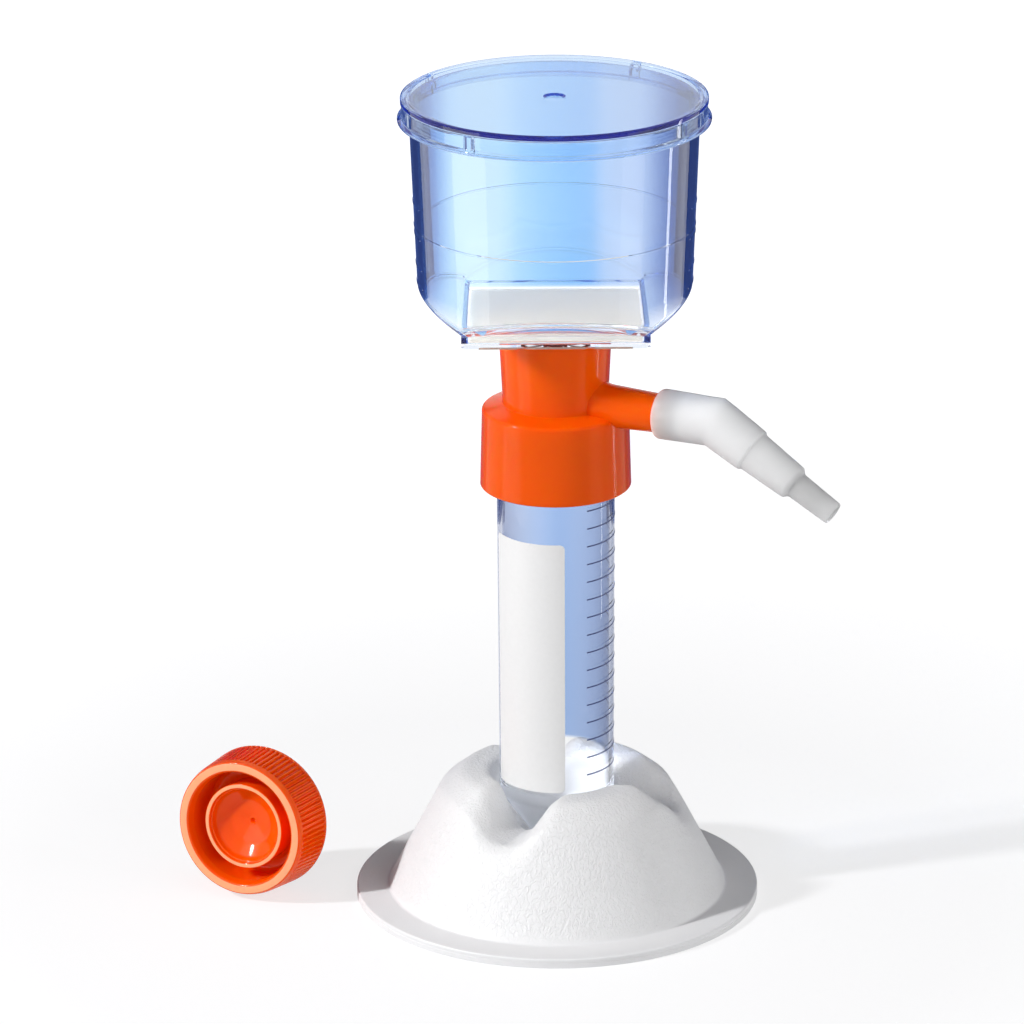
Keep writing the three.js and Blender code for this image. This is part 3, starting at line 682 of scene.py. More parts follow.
class FILTER_OT_stand(bpy.types.Operator):
    """White textured stand with its well and three finger channels"""

    bl_idname = "filter_unit.stand"
    bl_label = "Stand"

    FLANGE_TOP = 2.4
    CONE_FOOT = (42.1, 2.5, 0.9)
    CONE_HEAD = (28.9, 28.2, 7.0)
    CREST_EDGE = 23.2
    WELL_RIM = 3.4
    CHANNEL_TURNS = (-118, -4, 104)
    CHANNEL_FLAT = 2.8
    CHANNEL_WIDENING = 0.2
    CHANNEL_STEEPNESS = 0.92
    CHANNEL_ROUNDING = 3.0
    CHANNEL_LIP = 1.4
    CHANNEL_REACH = 10
    CHANNEL_RISE = 1.6
    BLEND_INSIDE = 3.6
    BLEND_OUTSIDE = 9.0

    def execute(self, context):
        sizes = context.scene.filter_unit_sizes
        colours = context.scene.filter_unit_colours
        self.well = half_width(TUBE_LOW, TUBE_HIGH) + sizes.well_clearance / MM
        self.floor = sizes.channel_floor / MM
        self.top = STAND_HIGH.z
        stand = spin_outline("stand_moulding", self.skin(), 400, closed=False)
        for vertex in stand.data.vertices:
            x, y, z = vertex.co / MM
            vertex.co.z = max(0.0, self.channelled(x, y, z)) * MM
        apply_modifier(stand, "SOLIDIFY", thickness=sizes.stand_wall, offset=-1.0, use_even_offset=False)
        for vertex in stand.data.vertices:
            vertex.co.z = max(vertex.co.z, 0.0)
        on_axis(stand)
        material = textured_white("stand_white", colours.stand_white)
        finish_piece(stand, "base", "stand_plastic", material, "stand", 50)
        return {"FINISHED"}

    def skin(self):
        """The outside, from the flange's edge over the crest and down the well."""
        flange = half_width(STAND_LOW, STAND_HIGH)
        well_floor = TUBE_LOW.z - 0.3
        rim = self.WELL_RIM
        groove_depth = 0.12
        corners = [
            (flange, 0.0, 0), (flange, 1.15, 0), (flange - groove_depth, 1.25, 0), (flange, 1.35, 0),
            (flange, self.FLANGE_TOP, 0.45), (self.CONE_FOOT[0] + 1.2, self.FLANGE_TOP, 0),
            self.CONE_FOOT, self.CONE_HEAD, (self.CREST_EDGE, self.top, 5.5),
            (self.well + rim, self.top, 0),
        ]
        skin = self.fine_steps(arc_corners(corners, closed=False, steps=8), 0.8)
        for step in range(1, 9):
            a = math.radians(90 * step / 8)
            skin.append((self.well + rim - rim * math.sin(a), self.top - rim * (1 - math.cos(a))))
        for step in range(1, 19):
            skin.append((self.well, self.top - rim - step * 0.5))
        skin += [(self.well - 3, 17.4), (6.5, 13.6), (3.8, well_floor), (0.0, well_floor)]
        return skin

    def fine_steps(self, points, reach):
        """Adds points on long stretches, so that the channels can be pressed into them."""
        fine = [points[0]]
        for here in points[1:]:
            before = Vector(fine[-1])
            gap = Vector(here) - before
            on_flange = before.x > self.CONE_FOOT[0] + 0.9
            count = 1 if on_flange else max(1, math.ceil(gap.length / reach))
            fine += [tuple(before + gap * (step / count)) for step in range(1, count + 1)]
        return fine

    def channelled(self, x, y, z):
        """Height of the skin once the channels are pressed in. Each one widens towards the outside."""
        radius = math.hypot(x, y)
        if z < self.floor - self.CHANNEL_REACH:
            return z
        wider = self.BLEND_OUTSIDE - self.BLEND_INSIDE
        blend = self.BLEND_INSIDE + wider * smooth_step((radius - 20) / 9)
        lip, reach = self.CHANNEL_LIP, self.CHANNEL_ROUNDING
        for turn in self.CHANNEL_TURNS:
            a = math.radians(turn)
            along = x * math.cos(a) + y * math.sin(a)
            across = abs(y * math.cos(a) - x * math.sin(a))
            if along < self.well * 0.4:
                continue
            flat = self.CHANNEL_FLAT + max(0.0, along - 19) * self.CHANNEL_WIDENING
            floor = self.floor + self.CHANNEL_RISE * smooth_step((along - 25) / 7)
            bank = rounded_rise(across - flat, reach) - rounded_rise(-flat, reach)
            pressed = floor + self.CHANNEL_STEEPNESS * bank
            if radius < self.well + lip:
                pressed -= lip - math.sqrt(max(0.0, lip * lip - (self.well + lip - radius) ** 2))
            z = soft_minimum(z, pressed, blend)
        return z


# ------------------------------------------------------------------ tube and its print
TUBE_DRAFT = 0.35
TUBE_NECK = 14.5
TUBE_BODY_START = TUBE_LOW.z + 16


def tube_radius(z):
    """Outer radius of the tube's straight body at a height."""
    share = (z - TUBE_BODY_START) / (TUBE_HIGH.z - TUBE_NECK - TUBE_BODY_START)
    return half_width(TUBE_LOW, TUBE_HIGH) - TUBE_DRAFT * (1 - share)


def wrap_on_tube(piece, stand_off):
    """Bends a flat piece, drawn as (turn in radians, height), onto the tube."""
    for vertex in piece.data.vertices:
        turn, _, z = vertex.co
        radius = tube_radius(z / MM) * MM + stand_off
        vertex.co = on_ring(radius, turn, z)


FIELD_LOW, FIELD_HIGH = 31.5, 96.5
INK_GAP = 0.02
INK_DEPTH = 0.06


class FILTER_OT_tube(bpy.types.Operator):
    """Clear conical tube with its stepped neck"""

    bl_idname = "filter_unit.tube"
    bl_label = "Tube"

    def execute(self, context):
        sizes = context.scene.filter_unit_sizes
        colours = context.scene.filter_unit_colours
        wall = sizes.tube_wall / MM
        tip, rim = TUBE_LOW.z, TUBE_HIGH.z
        body = half_width(TUBE_LOW, TUBE_HIGH)
        step = 0.75
        neck = body - step
        low = body - TUBE_DRAFT
        cone = tip + 15.5
        shoulder = rim - TUBE_NECK
        inner_tip = tip + 1.7
        corners = [
            (0, tip, 0), (3.2, tip, 1.2), (low, cone, 3.0), (body, shoulder, 0.3),
            (neck, shoulder + step, 0.2), (neck, rim, 0.4),
            (neck - wall, rim, 0.4), (neck - wall, shoulder, 0.3), (body - wall, shoulder - step, 0.3),
            (low - wall, cone + 0.5, 3.0), (2.7, inner_tip, 0.8), (0, inner_tip, 0),
        ]
        tube = spin_outline("sample_tube", arc_corners(corners, steps=6), 128)
        on_axis(tube)
        finish_piece(tube, "base", "tube_plastic", self.plastic(colours), "tube")
        return {"FINISHED"}

    def plastic(self, colours):
        # Painted light: bands of backdrop blue seen through the tube, darker at its edges and lighter where
        # reflections fall.
        bands = (
            (-14, (0.35, 0.38, 0.52)), (-7, (0.50, 0.62, 0.86)), (0, (0.30, 0.46, 0.78)),
            (5, (0.38, 0.51, 0.78)), (10, (0.32, 0.42, 0.66)), (14, (0.18, 0.22, 0.36)),
        )
        half = half_width(TUBE_LOW, TUBE_HIGH)
        above_stand = STAND_HIGH.z + 3
        frosted = FIELD_LOW - 0.5
        return clear_plastic(
            "tube_clear", colours.clear_tint, 10, half, bands, above_stand, ior=1.2, frosted_below=frosted
        )


class FILTER_OT_tube_print(bpy.types.Operator):
    """White writing field and blue graduation lines on the tube"""

    bl_idname = "filter_unit.tube_print"
    bl_label = "Tube print"

    FIELD_TURNS = (-166, -82)
    MEASURED_AT = 60
    LINE_TURNS = (-58.8, 24)
    LOWEST_LINE = 35.5
    LINE_HEIGHT = 0.34
    STEPS = 40

    def execute(self, context):
        sizes = context.scene.filter_unit_sizes
        colours = context.scene.filter_unit_colours
        self.writing_field(colours)
        self.graduations(sizes, colours)
        return {"FINISHED"}

    def writing_field(self, colours):
        first, last = (math.radians(turn) for turn in self.FIELD_TURNS)
        low, high = FIELD_LOW * MM, FIELD_HIGH * MM
        deselect()
        bpy.ops.mesh.primitive_plane_add(size=1, location=((first + last) / 2, 0, (low + high) / 2))
        field = bpy.context.object
        field.name = "writing_field"
        field.rotation_euler = (math.pi / 2, 0, 0)
        field.scale = (last - first, high - low, 1)
        bpy.ops.object.transform_apply(location=True, rotation=True, scale=True)
        self.round_corners(field, 1.3 * MM)
        edit(field)
        for step in range(1, self.STEPS):
            bpy.ops.mesh.select_all(action="SELECT")
            cut = first + (last - first) * step / self.STEPS
            bpy.ops.mesh.bisect(plane_co=(cut, 0, 0), plane_no=(1, 0, 0))
        bpy.ops.object.mode_set(mode="OBJECT")
        wrap_on_tube(field, INK_GAP * MM)
        apply_modifier(field, "SOLIDIFY", thickness=INK_DEPTH * MM, offset=1.0)
        on_axis(field)
        ink = matte_film("print_white", colours.ink_white, 900, 0.5)
        finish_piece(field, "base", "print_white", ink)

    def round_corners(self, field, radius):
        """Corners are rounded while one radian still measures as one millimetre of the tube's radius."""
        around = tube_radius(self.MEASURED_AT) * MM
        pick(field)
        field.scale = (around, 1, 1)
        bpy.ops.object.transform_apply(location=False, rotation=False, scale=True)
        edit(field)
        bpy.ops.mesh.bevel(offset=radius, segments=6, affect="VERTICES")
        bpy.ops.object.mode_set(mode="OBJECT")
        field.scale = (1 / around, 1, 1)
        bpy.ops.object.transform_apply(location=False, rotation=False, scale=True)

    def graduations(self, sizes, colours):
        first, last = (math.radians(turn) for turn in self.LINE_TURNS)
        centre = ((first + last) / 2, 0, self.LOWEST_LINE * MM)
        deselect()
        bpy.ops.mesh.primitive_grid_add(
            x_subdivisions=self.STEPS, y_subdivisions=1, size=1, location=centre
        )
        lines = bpy.context.object
        lines.name = "graduation_lines"
        lines.rotation_euler = (math.pi / 2, 0, 0)
        lines.scale = (last - first, self.LINE_HEIGHT * MM, 1)
        bpy.ops.object.transform_apply(location=True, rotation=True, scale=True)
        apply_modifier(
            lines, "ARRAY", count=sizes.graduation_count, use_relative_offset=False,
            use_constant_offset=True, constant_offset_displace=(0, 0, sizes.graduation_pitch),
        )
        wrap_on_tube(lines, INK_GAP * MM)
        apply_modifier(lines, "SOLIDIFY", thickness=INK_DEPTH * MM, offset=1.0)
        on_axis(lines)
        ink = matte_film("print_blue", colours.ink_blue, 900, 0.4)
        finish_piece(lines, "base", "print_blue", ink)


# ------------------------------------------------------------------ cap
class FILTER_OT_cap(bpy.types.Operator):
    """Orange screw cap with grip ribs, lying on its edge"""

    bl_idname = "filter_unit.cap"
    bl_label = "Cap"

    HEIGHT = 13.2
    TOP_ROUNDING = 0.75
    GROOVE_DEPTH = 0.7
    GROOVE_LEVELS = (
        (1.5, 0.0), (1.8, 0.5), (2.1, 0.9), (2.6, 1.0), (7.0, 1.0), (11.3, 1.0), (11.7, 0.9), (12.0, 0.4),
        (12.15, 0.0),
    )
    TURN = math.radians(27)
    TAPER = math.radians(3.9)

    def execute(self, context):
        sizes = context.scene.filter_unit_sizes
        colours = context.scene.filter_unit_colours
        self.ribs = sizes.knurl_count
        body = CAP_HIGH.z / 2
        rim = body - 1.1
        bore = rim - 3.1
        height = self.HEIGHT
        ceiling = height - 2.4
        plug, plug_inner, setback = 10.9, 9.7, 2.2
        nub_and_dish = [
            (0, 8.1, 0), (0.35, 8.1, 0.15), (0.75, 7.2, 0.3), (1.3, 7.25, 0.4), (5.6, 6.3, 3.0),
            (8.9, 4.3, 1.5), (9.25, 3.0, 0.25), (plug_inner - 0.1, 2.95, 0.2),
        ]
        plug_and_rim = [
            (plug_inner, setback, 0.3), (plug, setback, 0.25), (plug - 0.3, ceiling, 1.2),
            (bore, ceiling, 1.2), (bore + 0.1, 2.2, 0.6), (bore + 0.6, 0, 0.7), (rim - 0.1, 0, 0.45),
            (rim + 0.1, 0.9, 0.3), (rim + 0.15, 1.2, 0),
        ]
        outline = arc_corners(nub_and_dish + plug_and_rim, closed=False, steps=6)
        rings = [self.ring(r, z) for r, z in outline]
        slope = (body - rim - 0.4) / (height - 3.0)
        for z, share in self.GROOVE_LEVELS:
            rings.append(self.grooved(rim + 0.35 + slope * (z - 2.3), z, self.GROOVE_DEPTH * share))
        edge = self.TOP_ROUNDING
        for step in range(1, 6):
            a = math.radians(90 * step / 5)
            rings.append(self.ring(body - 0.95 + edge * math.cos(a), height - edge + edge * math.sin(a)))
        rings.append(self.ring(0, height))
        cap = loft("screw_cap", rings, self.ribs * 8, closed=False)
        cap.data.materials.append(glossy_orange("cap_orange", colours.orange, 0.18))
        # The cap's matt rim faces get the paler orange, with the lamps' sheen painted into it.
        cap.data.materials.append(matt_painted_sheen_orange("cap_matt_orange", colours.matt_painted_sheen_orange))
        for face in cap.data.polygons:
            level = face.center.z / MM
            radius = face.center.xy.length / MM
            on_rim = level < 0.01 or (abs(level - setback) < 0.01 and radius < bore)
            face.material_index = 1 if on_rim and abs(face.normal.z) > 0.99 else 0
        self.lay_down(cap)
        finish_piece(cap, "base", "orange_plastic", None, "cap", 40)
        return {"FINISHED"}

    def ring(self, radius, z):
        return lambda a: on_ring(radius, a, z)

    def grooved(self, radius, z, depth):
        """A ring with grooves that leave ribs, each a third of the pitch wide, with sloping sides."""
        def point(a):
            from_rib = abs((a * self.ribs / math.tau) % 1.0 - 0.5)
            r = radius - depth * (1 - smooth_step((from_rib - 0.14) / 0.2))
            return on_ring(r, a, z)
        return point

    def lay_down(self, cap):
        """Lays the tapered cap on its side, on both edges, with its open side to the front and left."""
        body = CAP_HIGH.z / 2
        place(cap, (0, -body, 0))
        place(cap, turn=(-self.TAPER, 0, 0))
        place(cap, (0, body, 0))
        place(cap, turn=(-math.pi / 2, 0, -self.TURN))
        low = [min(vertex.co[axis] for vertex in cap.data.vertices) / MM for axis in range(3)]
        place(cap, (CAP_LOW.x - low[0], CAP_LOW.y - low[1], -low[2]))


# ------------------------------------------------------------------ collar
class FILTER_OT_collar(bpy.types.Operator):
    """Orange collar with its skirt, neck and sidearm"""

    bl_idname = "filter_unit.collar"
    bl_label = "Collar"

    SKIRT_HEIGHT = 19.9
    SKIRT_DRAFT = 0.55
    ARM_BORE = 3.2
    ARM_LENGTH = 34.0

    def execute(self, context):
        sizes = context.scene.filter_unit_sizes
        colours = context.scene.filter_unit_colours
        bottom, top = COLLAR_LOW.z, COLLAR_HIGH.z
        wide = COLLAR_HIGH.y - AXIS_Y
        upper = wide - self.SKIRT_DRAFT
        skirt_top = bottom + self.SKIRT_HEIGHT
        bore = upper - sizes.collar_wall / MM
        neck_low, neck_high, neck_bore = 12.9, 13.9, 11.4
        neck_foot = skirt_top + 1.3
        ceiling = GASKET_HIGH.z + 0.3
        corners = [
            (0, bottom, 0), (wide, bottom, 0.6), (upper, skirt_top, 1.0), (neck_low, neck_foot, 0.25),
            (neck_high, top, 0.3), (0, top, 0),
        ]
        collar = spin_outline("screw_collar", arc_corners(corners, steps=6), 160)
        arm = self.along_arm(spin_outline("arm", self.arm_outline(), 64))
        combine(collar, arm, "UNION")
        bores = [
            (0, bottom - 1), (bore, bottom - 1), (bore, ceiling), (neck_bore, ceiling), (neck_bore, top + 1),
            (0, top + 1),
        ]
        combine(collar, spin_outline("bores", bores, 128), "DIFFERENCE")
        start, end = 9.4, self.ARM_LENGTH + 1
        arm_bore = [(0, start), (self.ARM_BORE, start), (self.ARM_BORE, end), (0, end)]
        combine(collar, self.along_arm(spin_outline("arm_bore", arm_bore, 48)), "DIFFERENCE")
        on_axis(collar)
        material = glossy_orange("collar_orange", colours.orange)
        finish_piece(collar, "filter_top", "orange_plastic", material, "collar", 35)
        return {"FINISHED"}

    def arm_outline(self):
        """The sidearm, which flares a little where it leaves the neck."""
        flare = [(5.9, 12.6), (5.55, 13.4), (5.35, 14.2), (5.25, 15.2), (5.2, 16.6)]
        end = self.ARM_LENGTH
        return [(0, 0), (5.9, 0)] + flare + [(4.6, end - 0.4), (4.2, end), (0, end)]

    def along_arm(self, piece):
        x, y, _ = ELBOW["axis"]
        place(piece, turn=(0, math.pi / 2, math.atan2(y, x)))
        place(piece, (0, 0, ELBOW["pos_m"][2] / MM))
        return piece


class FILTER_OT_gasket(bpy.types.Operator):
    """Soft sealing ring between tube and collar"""

    bl_idname = "filter_unit.gasket"
    bl_label = "Gasket"

    def execute(self, context):
        colours = context.scene.filter_unit_colours
        outer = half_width(GASKET_LOW, GASKET_HIGH)
        low, high = GASKET_LOW.z, GASKET_HIGH.z
        inner = 11.8
        corners = [(inner, low, 0.3), (outer, low, 0.3), (outer, high, 0.3), (inner, high, 0.3)]
        gasket = spin_outline("sealing_ring", arc_corners(corners, steps=4), 96)
        on_axis(gasket)
        material = matte_film("gasket_rubber", colours.rubber, 500, 0.7)
        finish_piece(gasket, "seal_ring", "gasket_rubber", material, "collar_gasket")
        return {"FINISHED"}


# ------------------------------------------------------------------ hose elbow
class FILTER_OT_elbow(bpy.types.Operator):
    """Milky stepped hose elbow"""

    bl_idname = "filter_unit.elbow"
    bl_label = "Hose elbow"

    BEND_AT = 14.7
    BEND = math.radians(30.5)

    def execute(self, context):
        colours = context.scene.filter_unit_colours
        outer = [
            (0.0, 5.55), (0.25, 5.95), (0.7, 6.15), (3.0, 6.13), (13.0, 6.0), (self.BEND_AT, 6.0),
            (16.4, 6.0), (25.6, 5.68), (26.2, 5.55), (26.5, 5.15), (27.0, 5.06), (38.4, 4.42), (38.9, 4.3),
            (39.6, 3.6), (40.1, 3.28), (50.8, 2.92), (51.2, 2.78), (51.3, 2.55),
        ]
        inner = [
            (51.3, 2.3), (51.1, 2.1), (16.5, 2.1), (self.BEND_AT, 2.4), (12.5, 3.2), (6.2, 3.2),
            (6.0, 3.6), (5.8, 4.9), (0.3, 5.0), (0.0, 5.2),
        ]
        rings = [self.ring(along, radius) for along, radius in outer + inner]
        elbow = loft("hose_elbow", rings, 72)
        x, y, _ = ELBOW["axis"]
        place(elbow, turn=(0, math.pi / 2, math.atan2(y, x)))
        place(elbow, (AXIS_X + x * ELBOW_MOUTH, AXIS_Y + y * ELBOW_MOUTH, ELBOW["pos_m"][2] / MM))
        material = milky_plastic("elbow_milky", colours.milky)
        finish_piece(elbow, "hose_elbow", "milky_plastic", material, "hose_connector", 40)
        return {"FINISHED"}

    def ring(self, along, radius):
        """A ring square to the bent axis, and halfway tilted at the bend itself."""
        bend = self.BEND
        past = along - self.BEND_AT
        tilt = bend * min(1.0, max(0.0, 0.5 + past / 3.0))

        def point(a):
            x, y = radius * math.cos(a), radius * math.sin(a)
            if past <= 0:
                centre = (0.0, along)
            else:
                centre = (math.sin(bend) * past, self.BEND_AT + math.cos(bend) * past)
            stretch = 1 / math.cos(bend / 2) if abs(past) < 0.01 else 1.0
            return (centre[0] + x * stretch * math.cos(tilt), y, centre[1] - x * stretch * math.sin(tilt))

        return point


# ------------------------------------------------------------------ filter bed
class FILTER_OT_filter_bed(bpy.types.Operator):
    """Clear support plate and the white membrane on it"""

    bl_idname = "filter_unit.filter_bed"
    bl_label = "Filter bed"

    PLATE_THICKNESS = 1.2
    RECESS_HALF = 18.5
    RECESS_DEPTH = 0.7
    SPOUT_BORE = 2.4

    def execute(self, context):
        colours = context.scene.filter_unit_colours
        half = half_width(PLATE_LOW, PLATE_HIGH)
        top = PLATE_HIGH.z
        under = top - self.PLATE_THICKNESS
        plate = block("support_bed", (-half, -half, under), (half, half, top))
        recess, recess_floor = self.RECESS_HALF, top - self.RECESS_DEPTH
        tool = block("recess", (-recess, -recess, recess_floor), (recess, recess, top + 1))
        combine(plate, tool, "DIFFERENCE")
        for side in range(4):
            for middle in (-8.2, 8.2):
                low, high = (middle - 1.1, -half - 1, under - 1), (middle + 1.1, -half + 0.5, under + 0.35)
                notch = block("notch", low, high)
                place(notch, turn=(0, 0, side * math.pi / 2))
                combine(plate, notch, "DIFFERENCE")
        bore, skirt_in, skirt_out = self.SPOUT_BORE, 9.7, 11.1
        inside = under + 0.5
        spout = [
            (bore, under - 12), (3.2, under - 12), (3.8, inside), (skirt_in, under + 0.4),
            (skirt_in, under - 6), (skirt_out, under - 6), (skirt_out, inside), (bore, inside),
        ]
        combine(plate, spin_outline("spout", spout, 72), "UNION")
        drain = [(0, under - 1), (bore, under - 1), (bore, top + 1), (0, top + 1)]
        combine(plate, spin_outline("drain", drain, 72), "DIFFERENCE")
        bevel_edges(plate, 0.15, 50)
        on_axis(plate)
        material = clear_plastic("plate_clear", colours.clear_tint, 4, ior=1.3)
        finish_piece(plate, "filter_top", "clear_plastic", material, "support_plate")
        self.membrane(colours)
        return {"FINISHED"}

    def membrane(self, colours):
        half = half_width(MEMBRANE_LOW, MEMBRANE_HIGH)
        low, high = MEMBRANE_LOW.z, MEMBRANE_HIGH.z
        film = block("filter_membrane", (-half, -half, low), (half, half, high))
        bevel_edges(film, 0.1, 50)
        on_axis(film)
        material = matte_film("membrane_white", colours.membrane, 300, 0.6)
        finish_piece(film, "filter_top", "membrane_film", material, "membrane")


# ------------------------------------------------------------------ funnel
def square_share(a):
    """A square's half width as a share of the distance from its middle to its edge, at a turn."""
    return max(abs(math.cos(a)), abs(math.sin(a)))


class FILTER_OT_funnel(bpy.types.Operator):
    """Clear round funnel whose floor slopes to a square well"""

    bl_idname = "filter_unit.funnel"
    bl_label = "Funnel"

    SLOPE = math.radians(24)
    FOOT_HEIGHT = 1.6
    WELL_DEPTH = 2.4
    LINE_HEIGHTS = (160.2, 164.9, 172.6, 180.3)
    FULL_LINE = 174.4
    LINE_RELIEF = 0.11
    INNER_BEAD = ((0.7, 0.0), (0.5, 0.25), (0.3, 0.25), (0.1, 0.0))

    def execute(self, context):
        sizes = context.scene.filter_unit_sizes
        colours = context.scene.filter_unit_colours
        self.bottom, self.rim = FUNNEL_LOW.z, FUNNEL_HIGH.z
        self.top_radius = half_width(FUNNEL_LOW, FUNNEL_HIGH)
        self.low_radius = 33.4
        wall = sizes.funnel_wall / MM
        fillet = sizes.funnel_fillet / MM
        foot = half_width(PLATE_LOW, PLATE_HIGH)
        foot_top = self.bottom + self.FOOT_HEIGHT
        well_top = self.bottom + self.WELL_DEPTH
        half = wall / 2
        rings = [self.rim_ring(half, turn) for turn in (90, 60, 30)]
        rings.append(self.wall_ring(self.rim - half, 0.0))
        for z in self.line_levels():
            rings.append(self.wall_ring(z, 0.0, lines=True))
        rings += self.floor_rings(0.0, fillet, foot, foot_top)
        rings += [self.square(foot, z) for z in (foot_top, foot_top - 0.1, self.bottom)]
        rings += [self.square(foot - wall, z) for z in (self.bottom, well_top)]
        rings += list(reversed(self.floor_rings(wall, 0.4, foot - wall, well_top)))
        for z in (165.0, 180.0, self.rim - half):
            rings.append(self.wall_ring(z, wall))
        rings += [self.rim_ring(half, turn) for turn in (150, 120)]
        funnel = loft("filter_funnel", rings, 256)
        bevel_edges(funnel, 0.22, 24)
        on_axis(funnel)
        finish_piece(funnel, "filter_top", "clear_plastic", self.plastic(colours), "funnel", 22)
        return {"FINISHED"}

    def plastic(self, colours):
        # Painted light: bands of backdrop blue seen through the funnel, dark blue at its edges and lighter
        # where reflections fall.
        bands = (
            (-34, (0.02, 0.06, 0.22)), (-32, (0.09, 0.20, 0.52)), (-29.5, (0.20, 0.36, 0.70)),
            (-26.5, (0.46, 0.70, 0.93)), (-23, (0.60, 0.81, 0.96)), (-14, (0.60, 0.81, 0.96)),
            (-8.5, (0.36, 0.64, 0.93)), (0, (0.27, 0.55, 0.89)), (9, (0.21, 0.48, 0.85)),
            (13, (0.46, 0.61, 0.85)), (21, (0.50, 0.63, 0.85)), (25, (0.24, 0.35, 0.64)),
            (29, (0.04, 0.10, 0.38)), (33, (0.02, 0.06, 0.22)),
        )
        return clear_plastic("funnel_clear", colours.clear_tint, 25, 35.2, bands, self.bottom + 0.2)

    def radius_at(self, z):
        share = (z - self.bottom - 8) / (self.rim - self.bottom - 8)
        return self.low_radius + (self.top_radius - self.low_radius) * share

    def line_levels(self):
        levels = []
        for z in sorted(self.LINE_HEIGHTS + (self.FULL_LINE,), reverse=True):
            levels += [z + 0.28, z + 0.12, z - 0.12, z - 0.28]
        return levels

    def rim_ring(self, half, turn):
        """A ring of the rounded rim, turned from the outer wall to the inner one."""
        a = math.radians(turn)
        return self.wall_ring(self.rim - half + half * math.sin(a), half - half * math.cos(a))

    def wall_ring(self, z, inset, lines=False):
        """A ring of the round wall. With lines, the measuring lines stand out on it."""
        radius = self.radius_at(z) - inset
        full = abs(z - self.FULL_LINE) < 0.2
        short = any(abs(z - level) < 0.2 for level in self.LINE_HEIGHTS)

        def point(a):
            r = radius
            beside = min(abs(a), math.pi - abs(a))
            if lines and (full or (short and beside < math.radians(18))):
                r += self.LINE_RELIEF
            return on_ring(r, a, z)

        return point

    def square(self, half, z):
        def point(a):
            r = half / square_share(a)
            return on_ring(r, a, z)

        return point

    def floor_rings(self, inset, fillet, half, edge_height):
        """Rings of the rounded corner below the wall, and of the four slopes down to a square."""
        wall_radius = self.low_radius - inset
        centre_radius = wall_radius - fillet

        def slope_of(a):
            return math.atan(square_share(a) * math.tan(self.SLOPE))

        def height_on_slope(a, radius):
            return edge_height + (radius * square_share(a) - half) * math.tan(self.SLOPE)

        def fillet_ring(share):
            def point(a):
                slope = slope_of(a)
                tangent = centre_radius + fillet * math.sin(slope)
                centre = height_on_slope(a, tangent) + fillet * math.cos(slope)
                turn = slope - math.pi / 2
                angle = turn * share
                r = centre_radius + fillet * math.cos(angle)
                z = centre + fillet * math.sin(angle)
                return on_ring(r, a, z)
            return point

        def slope_ring(share):
            def point(a):
                slope = slope_of(a)
                tangent = centre_radius + fillet * math.sin(slope)
                edge = half / square_share(a)
                r = tangent + (edge - tangent) * share
                return on_ring(r, a, height_on_slope(a, r))
            return point

        def bead_ring(rise, depth):
            def point(a):
                return on_ring(wall_radius - depth, a, fillet_ring(0)(a)[2] + rise)
            return point

        rings = [bead_ring(rise, depth) for rise, depth in self.INNER_BEAD] if inset else []
        rings += [fillet_ring(step / 12) for step in range(13)]
        rings += [slope_ring(step / 3) for step in range(1, 4)]
        return rings


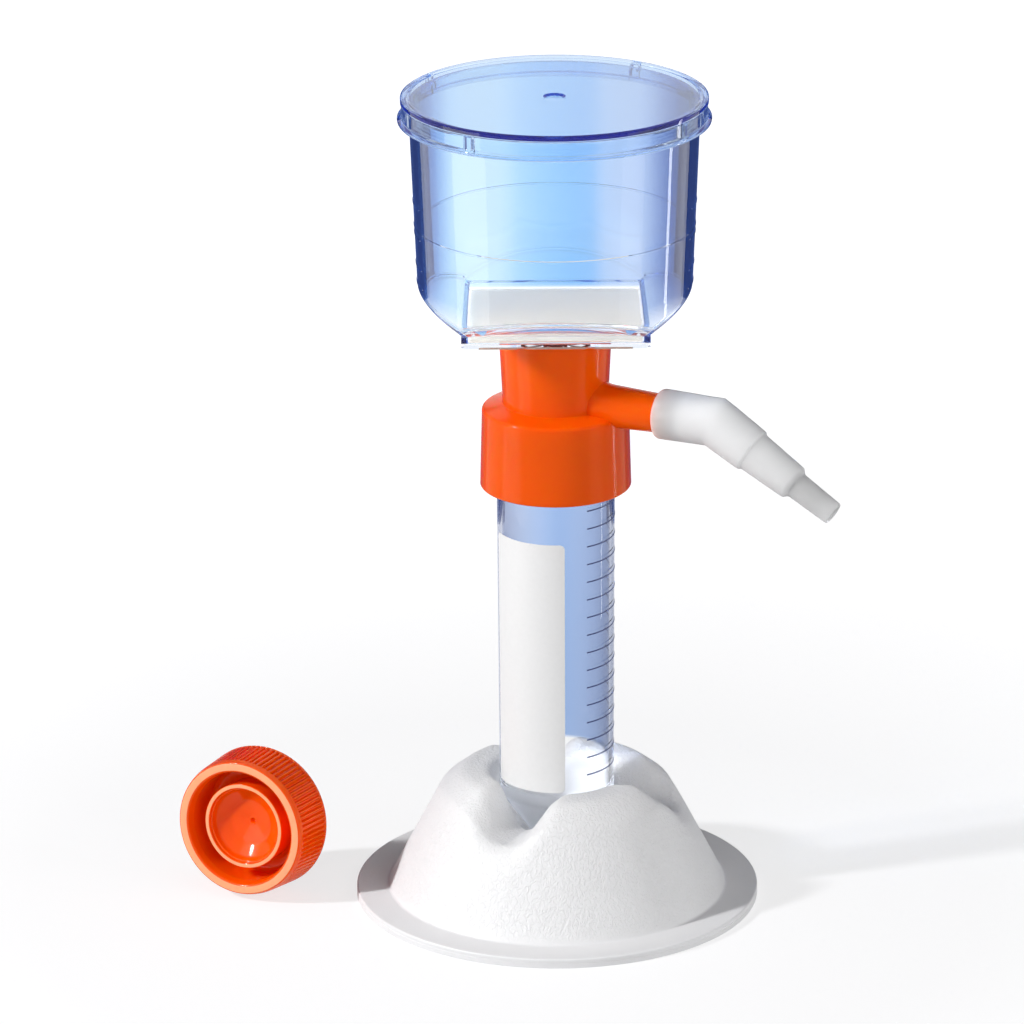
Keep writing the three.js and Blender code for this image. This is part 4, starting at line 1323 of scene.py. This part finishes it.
# ------------------------------------------------------------------ lid
class FILTER_OT_lid(bpy.types.Operator):
    """Clear snap lid with a raised crest and four skirt ribs"""

    bl_idname = "filter_unit.lid"
    bl_label = "Lid"

    RIB_TURNS = (-124, -34, 56, 146)
    RIB_HALF_TURN = 1.9
    RIB_OUTSIDE = 0.55
    RIB_INSIDE = 0.4

    def execute(self, context):
        colours = context.scene.filter_unit_colours
        lip = half_width(LID_LOW, LID_HIGH)
        low, top = LID_LOW.z, LID_HIGH.z
        edge = lip - 0.8
        skirt_out, skirt_in = edge - 0.2, edge - 1.2
        under = FUNNEL_HIGH.z + 0.3
        panel = top - 0.4
        dimple = panel - 0.5
        corners = [
            (0, under, 0), (skirt_in, under, 0.3), (skirt_in, low + 0.5, 0.2), (skirt_in + 0.3, low, 0.2),
            (lip - 0.1, low, 0.25), (lip, low + 0.7, 0.3), (skirt_out, low + 1.3, 0.3),
            (skirt_out, under - 0.2, 0.1), (edge, under + 0.1, 0.1), (edge, top - 0.3, 0.4),
            (edge - 0.6, top, 0.4), (edge - 1.7, top, 0.3), (edge - 2.2, panel, 0.3), (2.7, panel, 0.15),
            (2.2, dimple, 0.25), (0, dimple, 0),
        ]
        rings = []
        for r, z in arc_corners(corners, steps=7):
            on_skirt = low + 1.2 < z < under and skirt_out - 0.1 < r < skirt_out + 0.1
            inside = low + 0.4 < z < under - 0.05 and abs(r - skirt_in) < 0.1
            rib = self.RIB_OUTSIDE if on_skirt else -self.RIB_INSIDE if inside else 0.0
            rings.append(self.ring(r, z, rib))
        lid = loft("funnel_lid", rings, 480)
        on_axis(lid)
        # The lid's pale blue base colour is painted light: the backdrop's blue seen through it.
        material = clear_plastic("lid_clear", colours.clear_tint, 110, painted_see_through=(0.84, 0.93, 0.99))
        finish_piece(lid, "filter_top", "clear_plastic", material, "lid", 25)
        return {"FINISHED"}

    def ring(self, radius, z, rib):
        """A ring of the lid. On the skirt the four ribs make it thicker."""
        def point(a):
            r = radius
            for turn in self.RIB_TURNS:
                away = abs((math.degrees(a) - turn + 180) % 360 - 180)
                if away < self.RIB_HALF_TURN:
                    r = radius + rib
            return on_ring(r, a, z)

        return point


# ------------------------------------------------------------------ panel and registering
OPERATORS = (
    FILTER_OT_stage, FILTER_OT_stand, FILTER_OT_tube, FILTER_OT_tube_print, FILTER_OT_cap, FILTER_OT_collar,
    FILTER_OT_gasket, FILTER_OT_elbow, FILTER_OT_filter_bed, FILTER_OT_funnel, FILTER_OT_lid,
)
PROPERTY_GROUPS = {
    "filter_unit_sizes": FilterUnitSizes,
    "filter_unit_colours": FilterUnitColours,
    "filter_unit_stage": FilterUnitStage,
}


class FILTER_PT_panel(bpy.types.Panel):
    """Lists the steps that build the unit"""

    bl_idname = "FILTER_PT_panel"
    bl_label = "Filter unit"
    bl_space_type = "VIEW_3D"
    bl_region_type = "UI"
    bl_category = "Filter unit"

    def draw(self, context):
        column = self.layout.column()
        for operator in OPERATORS:
            column.operator(operator.bl_idname)
        for name in PROPERTY_GROUPS:
            group = getattr(context.scene, name)
            for key in group.__annotations__:
                column.prop(group, key)


def register():
    for name, group in PROPERTY_GROUPS.items():
        bpy.utils.register_class(group)
        setattr(bpy.types.Scene, name, PointerProperty(type=group))
    for operator in OPERATORS:
        bpy.utils.register_class(operator)
    bpy.utils.register_class(FILTER_PT_panel)


def unregister():
    bpy.utils.unregister_class(FILTER_PT_panel)
    for operator in reversed(OPERATORS):
        bpy.utils.unregister_class(operator)
    for name, group in PROPERTY_GROUPS.items():
        delattr(bpy.types.Scene, name)
        bpy.utils.unregister_class(group)


def main():
    register()
    for operator in OPERATORS:
        group, step = operator.bl_idname.split(".")
        getattr(getattr(bpy.ops, group), step)()


if __name__ == "__main__":
    main()
